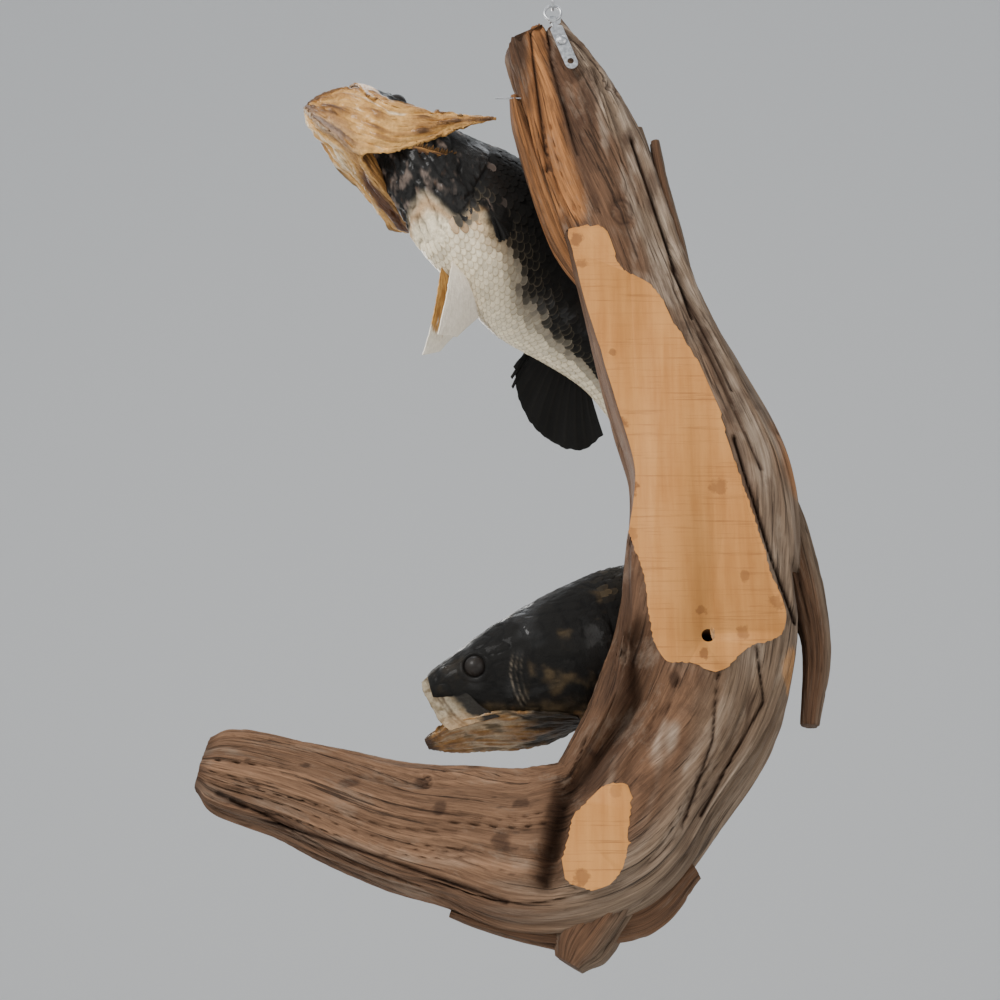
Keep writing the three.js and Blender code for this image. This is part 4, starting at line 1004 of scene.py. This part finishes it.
def fishFins(fish, pose):
    back = lambda x: hermite(bass["back"], x)
    belly = lambda x: hermite(bass["belly"], x)

    def backFin(start, end, edge, sweep):
        roots = lambda v: stack(start + (end - start) * v, 0, back(start + (end - start) * v) * 0.9)
        def tips(v):
            x = start + (end - start) * v
            return stack(x + sweep * edge(v), 0, back(x) + edge(v))
        return roots, tips

    spiny = backFin(0.33 if fish["flared"] else 0.38, 0.505,
                    lambda v: 0.062 * np.sin(pi * (0.12 + 0.83 * v)) ** 0.7, 0.4)
    soft = backFin(0.52, 0.67, lambda v: 0.098 * np.sin(pi * (0.22 + 0.62 * v)) ** 0.8, 0.5)
    analRoot = lambda v: stack(0.585 + 0.125 * v, 0, -belly(0.585 + 0.125 * v) * 0.85)
    analTip = lambda v: curveThrough(bass["analTips"], v)
    tailRoot = lambda v: stack(0.825 + 0 * v, 0, (2 * v - 1) * 0.046)
    tailTip = lambda v: stack(0.972 + 0.028 * np.abs(2 * v - 1) ** 1.5, 0, (2 * v - 1) * 0.124)
    shells = [finShell(pose, *spiny, 9, 1.5, notch=0.3), finShell(pose, *soft, 13, 1.3, notch=0.02, fray=0.03),
              finShell(pose, analRoot, analTip, 13, 1.1, notch=0.008, fray=0.012),
              finShell(pose, tailRoot, tailTip, 17, 1.3, notch=0.015, fray=0.02)]
    # three short spines at the front of the anal fin
    for k, (start, end) in enumerate((((0.588, -0.11), (0.606, -0.143)), ((0.594, -0.112), (0.622, -0.157)),
                                      ((0.6, -0.112), (0.64, -0.165)))):
        roots = lambda v, s=start: stack(s[0] + 0.006 * v, 0, s[1] + 0 * v)
        tips = lambda v, e=end: stack(e[0] + 0.0012 * v, 0, e[1] + 0 * v)
        shells.append(finShell(pose, roots, tips, 0.5, 2.0, size=(8, 6)))
    for side in (-1, 1):
        shells.append(pectoralShell(pose, side, fish["flared"]))
    return shells


def pectoralShell(pose, side, shrunk):
    lean, spread, splay, length = 22, 34, radians(14), 0.11
    if shrunk:
        lean, spread, splay, length = 30, 46, radians(2), 0.062

    def at(v, u):
        ray = np.radians(lean + spread * (v - 0.5))
        reach = length * (0.12 + u * (1 - 0.35 * v * v))
        x = 0.292 + reach * np.cos(ray) * cos(splay) + 0.018 * v
        crush = 0.006 * latticeNoise(stack(x * 90, v * 5, u * 6), 12) * u if shrunk else 0
        y = side * ((0.081 if shrunk else 0.064) + reach * np.cos(ray) * sin(splay) + crush)
        return stack(x, y, -0.04 - reach * np.sin(ray) - 0.006 * v)
    return finShell(pose, lambda v: at(v, 0), lambda v: at(v, 1), 12, 1.2, notch=0.05, size=(22, 60))


scaleStyle = {"along": 0.0108, "around": 0.0122, "reach": 1.5, "lift": 0.0012, "thick": 0.0006, "from": 0.272,
              "to": 0.825}


def scaleShell(fish, pose):
    # every scale is a thin rounded shingle, root under its neighbour and tip just proud
    style = scaleStyle
    random = np.random.default_rng(11 if fish["flared"] else 12)
    rootX, rootA = [], []
    rows = int((style["to"] - style["from"]) / style["along"])
    girthOf = lambda x: pi * (hermite(bass["half"], x) + 0.5 * (hermite(bass["back"], x) + hermite(bass["belly"], x)))
    smallAt = lambda x: 0.72 + 0.28 * ramp(0.84, 0.6, x)
    for k in range(rows):
        x = style["from"] + k * style["along"]
        count = max(10, int(girthOf(x) / (style["around"] * smallAt(x))))
        turn = (np.arange(count) + 0.5 * (k % 2)) / count * 2 * pi
        rootX.append(np.full(count, x))
        rootA.append(turn)
    x0, a0 = np.concatenate(rootX), np.concatenate(rootA)
    n = len(x0)
    x0 = x0 + random.normal(0, 0.0004, n)
    size = 1 + random.normal(0, 0.05, n)
    # outline from the root round the free edge: along, across, lift
    turns = np.linspace(-0.5 * pi, 0.5 * pi, 9)
    outline = [(-0.05, -0.42, -0.7), (-0.05, 0.42, -0.7)]
    outline += [(0.5 + 0.62 * cos(t), 0.54 * sin(t), 0.25 + 0.75 * cos(t)) for t in turns[::-1]]
    inner = [(0.4 + 0.56 * cos(t), 0.42 * sin(t), 0.3 + 0.62 * cos(t)) for t in turns[::-1]]
    middle = [(0.45, 0, 0.55)]
    rim = len(outline)
    local = np.array(outline + inner + middle)
    m = len(local)
    along = x0[:, None] + local[None, :, 0] * style["along"] * style["reach"] * size[:, None]
    wide = style["around"] * 1.12 * smallAt(x0) / girthOf(x0) * 2 * pi * size
    around = a0[:, None] + local[None, :, 1] * wide[:, None]
    flat = bodyPoint(fish, x0, a0)
    paint, gloss = bodyPaint(fish, x0, a0, flat)
    light = ramp(0.1, 0.4, paint.mean(1))[:, None]
    ragged = random.normal(0, 1, (n, m))
    tilt = np.maximum(0.5, random.normal(1, 0.3, n))[:, None] * (1.35 - 0.5 * light)
    lift = local[None, :, 2] * style["lift"] * tilt + 0.00022 * ragged * (1 - light)
    top = pose(bodyPoint(fish, along, around, lift))
    under = pose(bodyPoint(fish, along, around, lift - style["thick"]))
    points = np.concatenate([top, under], 1)
    # top: an edge band then a fan; underneath: one fan
    tri, quad = [], []
    innerAt = lambda k: rim + k
    for k in range(len(inner) - 1):
        quad.append([2 + k, 3 + k, innerAt(k + 1), innerAt(k)])
        tri.append([m - 1, innerAt(k), innerAt(k + 1)])
    tri += [[m - 1, innerAt(len(inner) - 1), rim - 1], [m - 1, rim - 1, 0], [m - 1, 0, 1], [m - 1, 1, 2],
            [m - 1, 2, innerAt(0)]]
    tri += [[2 * m - 1, m + (k + 1) % rim, m + k] for k in range(rim)]
    quad += [[k, m + k, m + (k + 1) % rim, (k + 1) % rim] for k in range(rim)]
    per = 2 * m
    every = []
    for block in (np.array(tri), np.array(quad)):
        every += (block[None] + (np.arange(n) * per)[:, None, None]).reshape(-1, block.shape[1]).tolist()
    paint = paint * (1 + random.normal(0, 0.07, (n, 1)))
    tone = np.clip(random.normal(0.55, 0.3, (n, 1)), 0, 1)
    darkEdge = paint * 1.5 + np.array([0.11, 0.09, 0.06]) * tone * ramp(0.35, 0.0, np.abs(np.sin(a0) + 0.35))[:, None]
    edgeTone = (paint * np.array([0.62, 0.56, 0.47])) * light + darkEdge * (1 - light)
    edgeHere = np.zeros(m)
    edgeHere[2:rim] = 1.0
    edgeHere[rim:m - 1] = 0.12
    edgeHere = np.concatenate([edgeHere, edgeHere])[None, :, None]
    full = paint[:, None, :] * (1 - edgeHere) + edgeTone[:, None, :] * edgeHere
    root = np.stack([(x0 - 0.2) / 0.7, a0 / (2 * pi) % 1], 1)
    return {"vertices": points.reshape(-1, 3), "faces": every, "paint": full.reshape(-1, 3),
            "gloss": np.repeat(gloss, per), "root": root, "local": np.concatenate([local[:, :2]] * 2)}


def bakeMap(made, shell):
    # each scale is a small patch at its root's place on the unrolled skin
    uv = made.data.uv_layers.new(name="OFBake")
    spot = shell["root"][:, None, :] + shell["local"][None] * 0.003
    spot = np.clip(spot.reshape(-1, 2), 0.001, 0.999)
    corner = np.empty(len(made.data.loops), np.int32)
    made.data.loops.foreach_get("vertex_index", corner)
    uv.data.foreach_set("uv", spot[corner].ravel())


def makeEyes(fish, pose):
    eye = bass["eye"]
    balls = {}
    for side, name in ((-1, "left"), (1, "right")):
        centre = pose(np.array([eye["x"], side * eye["y"], eye["z"]])) * mm
        bpy.ops.mesh.primitive_uv_sphere_add(segments=48, ring_count=28, radius=eye["radius"] * fish["length"] * mm)
        ball = bpy.context.object
        editAll(ball, (bpy.ops.transform.translate, {"value": tuple(centre)}))
        bpy.ops.object.shade_smooth()
        ball.name = fish["name"] + "Eye" + name.capitalize()
        ball.data.materials.append(finishes["eye"])
        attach(ball, "root")
        balls[name] = ball
    return balls


def rakerShells(pose):
    # a curved gill arch with a short comb of rakers on the open left side
    start, end, bow = np.array([(0.178, -0.05, -0.062), (0.235, -0.07, -0.004), (0.004, -0.01, -0.006)])
    arc = lambda t: start * (1 - t) + end * t + bow * np.sin(pi * t)
    line = [arc(t) for t in np.linspace(0, 1, 6)]
    other = [p + np.array([0.006, 0.006, 0.003]) for p in line]
    shells = [stripShell(pose, [line, other], (0, 1), (40, 10), 2.0, combPaint, 31, ridges=0.001)]
    for k in range(26):
        root = arc(0.06 + 0.88 * k / 25)
        tip = root + np.array([-0.0035, -0.0025, 0.001]) * (0.8 + 0.4 * sin(k * 2.3))
        roots = lambda v, r=root: stack(r[0] + 0.0012 * v, r[1] + 0 * v, r[2] + 0.0012 * v)
        tips = lambda v, e=tip: stack(e[0] + 0.0004 * v, e[1] + 0 * v, e[2] + 0.0004 * v)
        spine = finShell(pose, roots, tips, 0.5, 0.7, size=(5, 4))
        spine["paint"] = np.tile(np.array(fishColours["tan"]) * 0.35, (len(spine["vertices"]), 1))
        shells.append(spine)
    return shells


def makePlates(fish, pose):
    # jaw plates, gill covers and lips as thin dried sheets
    flared = fish["flared"]
    plate = platePaint if flared else lowerPlatePaint
    ridges, ragged, curl = (0.0098, 0.0046, 0.006) if flared else (0.0032, 0.0035, 0.001)
    shells = []
    for name, seed, flip in (("Left", 7, 1), ("Right", 9, -1)):
        edges = [fish["jaw" + name], fish["throat" + name]]
        tone = rightPlatePaint if flared and name == "Right" else plate
        shells.append(stripShell(pose, edges, (0.01, 1.0), (210, 74), 2.4, tone, seed, fish["swell"], ragged, ridges,
                                 curl))
        lips = [[(x, y * flip, z) for x, y, z in fish["lip" + row]] for row in ("High", "Low")]
        shells.append(stripShell(pose, lips, (0, 1), (90, 40), 2.2, platePaint if flared else lipPaint, seed + 5, 0,
                                 0.001, 0.0022 if flared else 0.0009))
    if flared:
        shells += rakerShells(pose)
        membrane = [fish["throatRight"], fish["chamberRight"]]
        shells.append(stripShell(pose, membrane, (0.25, 1.0), (80, 36), 1.6, combPaint, 33, ridges=0.003))
    return makeObject(fish["name"] + "Plates", shells, finishes["skin"])


def makePelvics(fish, pose):
    rightTone = tanPaperPaint if fish["flared"] else paperPaint
    shells = []
    for name, seed, tone in (("pelvicLeft", 21, paperPaint), ("pelvicRight", 23, rightTone)):
        root, front, rear = [np.array(p) for p in fish[name]]
        heel = root + np.array([0.018, 0, -0.004])
        middle = (front + rear) / 2 + np.array([0.012, 0, -0.012])
        edges = [[root, front], [root, middle], [heel, rear]]
        shells.append(stripShell(pose, edges, (0, 1), (60, 80), 0.9, tone, seed, ridges=0.0006, ragged=0.001))
    return makeObject(fish["name"] + "Pelvics", shells, finishes["fin"])


def makeBass(fish):
    pose = makePose(fish)
    shell = scaleShell(fish, pose)
    pieces = {
        "fish_dark": makeObject(fish["name"] + "Skin", [bodyShell(fish, pose)], finishes["skin"]),
        "dried_jaw": makePlates(fish, pose),
        "pale_fin": makePelvics(fish, pose),
        "fish_flank": makeObject(fish["name"] + "Scales", [shell], finishes["scale"], angle=40),
    }
    fins = makeObject(fish["name"] + "Fins", fishFins(fish, pose), finishes["fin"])
    bakeMap(pieces["fish_flank"], shell)
    for slotName, made in [*pieces.items(), ("fish_dark", fins)]:
        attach(made, "root")
    return pieces, fins, makeEyes(fish, pose)


pieces, fins, eyes = makeBass(firstBass)
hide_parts("first_head", "first_trunk", "first_tail")
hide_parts("first_lower_jaw", "first_gill_cover_left", "first_gill_cover_right")
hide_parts("first_pelvic_left", "first_pelvic_right")
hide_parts("first_dorsal_spiny", "first_dorsal_soft", "first_anal", "first_caudal", "first_pectoral_left",
            "first_pectoral_right")
for side, ball in eyes.items():
    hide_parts(f"first_eye_{side}")
print("first bass made")
pieces, fins, eyes = makeBass(secondBass)
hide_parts("second_fish")
print("second bass made")


# hanger

hanger = {"top": -101, "wire": 1.2, "ring": 7, "halfWidth": 6.3, "halfLength": 13.67, "links": 3, "gap": 0.35}


def makeLink(k):
    isRing = k == 0
    wide = hanger["ring"] if isRing else hanger["halfWidth"]
    pitch = 2 * (hanger["halfLength"] - hanger["wire"]) - hanger["gap"]
    first = hanger["top"] + 2 * (hanger["ring"] - hanger["wire"]) - hanger["gap"] + hanger["halfLength"]
    height = (hanger["top"] + hanger["ring"] if isRing else first + (k - 1) * pitch) * mm
    straight = 0 if isRing else (hanger["halfLength"] - hanger["halfWidth"]) * mm
    turned = (pi / 2, 0, radians(90 * (k % 2)))
    bpy.ops.mesh.primitive_torus_add(major_segments=48, minor_segments=14, major_radius=wide * mm,
                                     minor_radius=hanger["wire"] * mm, rotation=turned)
    link = bpy.context.object
    bpy.ops.object.transform_apply(location=True, rotation=True, scale=True)
    for vertex in link.data.vertices:
        vertex.co.z += straight if vertex.co.z > 1e-6 else -straight if vertex.co.z < -1e-6 else 0
        vertex.co.z += height
    bpy.ops.object.shade_smooth()
    link.name = f"chainLink{k + 1}"
    link.data.materials.append(finishes["steel"])
    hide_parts(f"chain_link_{k + 1}")
    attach(link, "root")


for k in range(hanger["links"] + 1):
    makeLink(k)
for finish, names in (("steel", ("hanger_strap", "hanger_screw", "ceiling_plate")),
                      ("sawn", ("first_peg", "second_peg"))):
    for name in names:
        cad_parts[name].data.materials.clear()
        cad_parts[name].data.materials.append(finishes[finish])
print("hanger made")


# room and light

# the backdrop stands well outside every viewing distance, so that all sides can be seen
room = {"floor": -1.9, "wall": 6.0, "size": 30, "tone": (0.80, 0.80, 0.79)}


def plainFinish(name, tone):
    f = Finish(name, Roughness=0.9)
    f.shader.inputs["Base Color"].default_value = (*tone, 1)
    return f.material


def makeRoom():
    bpy.ops.mesh.primitive_plane_add(size=room["size"], location=(0, 0, room["floor"]))
    floor = bpy.context.object
    floor.name = "floor"
    bpy.ops.mesh.primitive_plane_add(size=room["size"], location=(0, room["wall"], 0), rotation=(pi / 2, 0, 0))
    wall = bpy.context.object
    wall.name = "backdrop"
    for made in (floor, wall):
        made.data.materials.append(plainFinish(made.name + "Paint", room["tone"]))


def areaLight(name, place, turn, size, power, tone):
    data = bpy.data.lights.new(name, "AREA")
    data.size, data.energy, data.color = size, power, tone
    made = bpy.data.objects.new(name, data)
    made.location, made.rotation_euler = place, [radians(v) for v in turn]
    bpy.context.collection.objects.link(made)


makeRoom()
areaLight("keyLight", (-1.7, -2.0, 0.8), (64, 0, -40), 1.3, 104, (1.0, 0.985, 0.96))
areaLight("fillLight", (1.9, -2.1, -0.5), (90, 0, 42), 1.8, 26, (1.0, 0.95, 0.89))
areaLight("rearLight", (-1.2, 2.6, 0.6), (69, 0, -154), 1.6, 60, (1.0, 0.985, 0.96))
areaLight("topLight", (0.2, 0.9, 1.4), (-28, 0, 0), 1.6, 30, (0.92, 0.96, 1.0))
world = bpy.data.worlds.new("studio")
world.use_nodes = True
world.node_tree.nodes["Background"].inputs[0].default_value = (0.86, 0.9, 0.96, 1)
world.node_tree.nodes["Background"].inputs[1].default_value = 0.62
bpy.context.scene.world = world
print("light set")
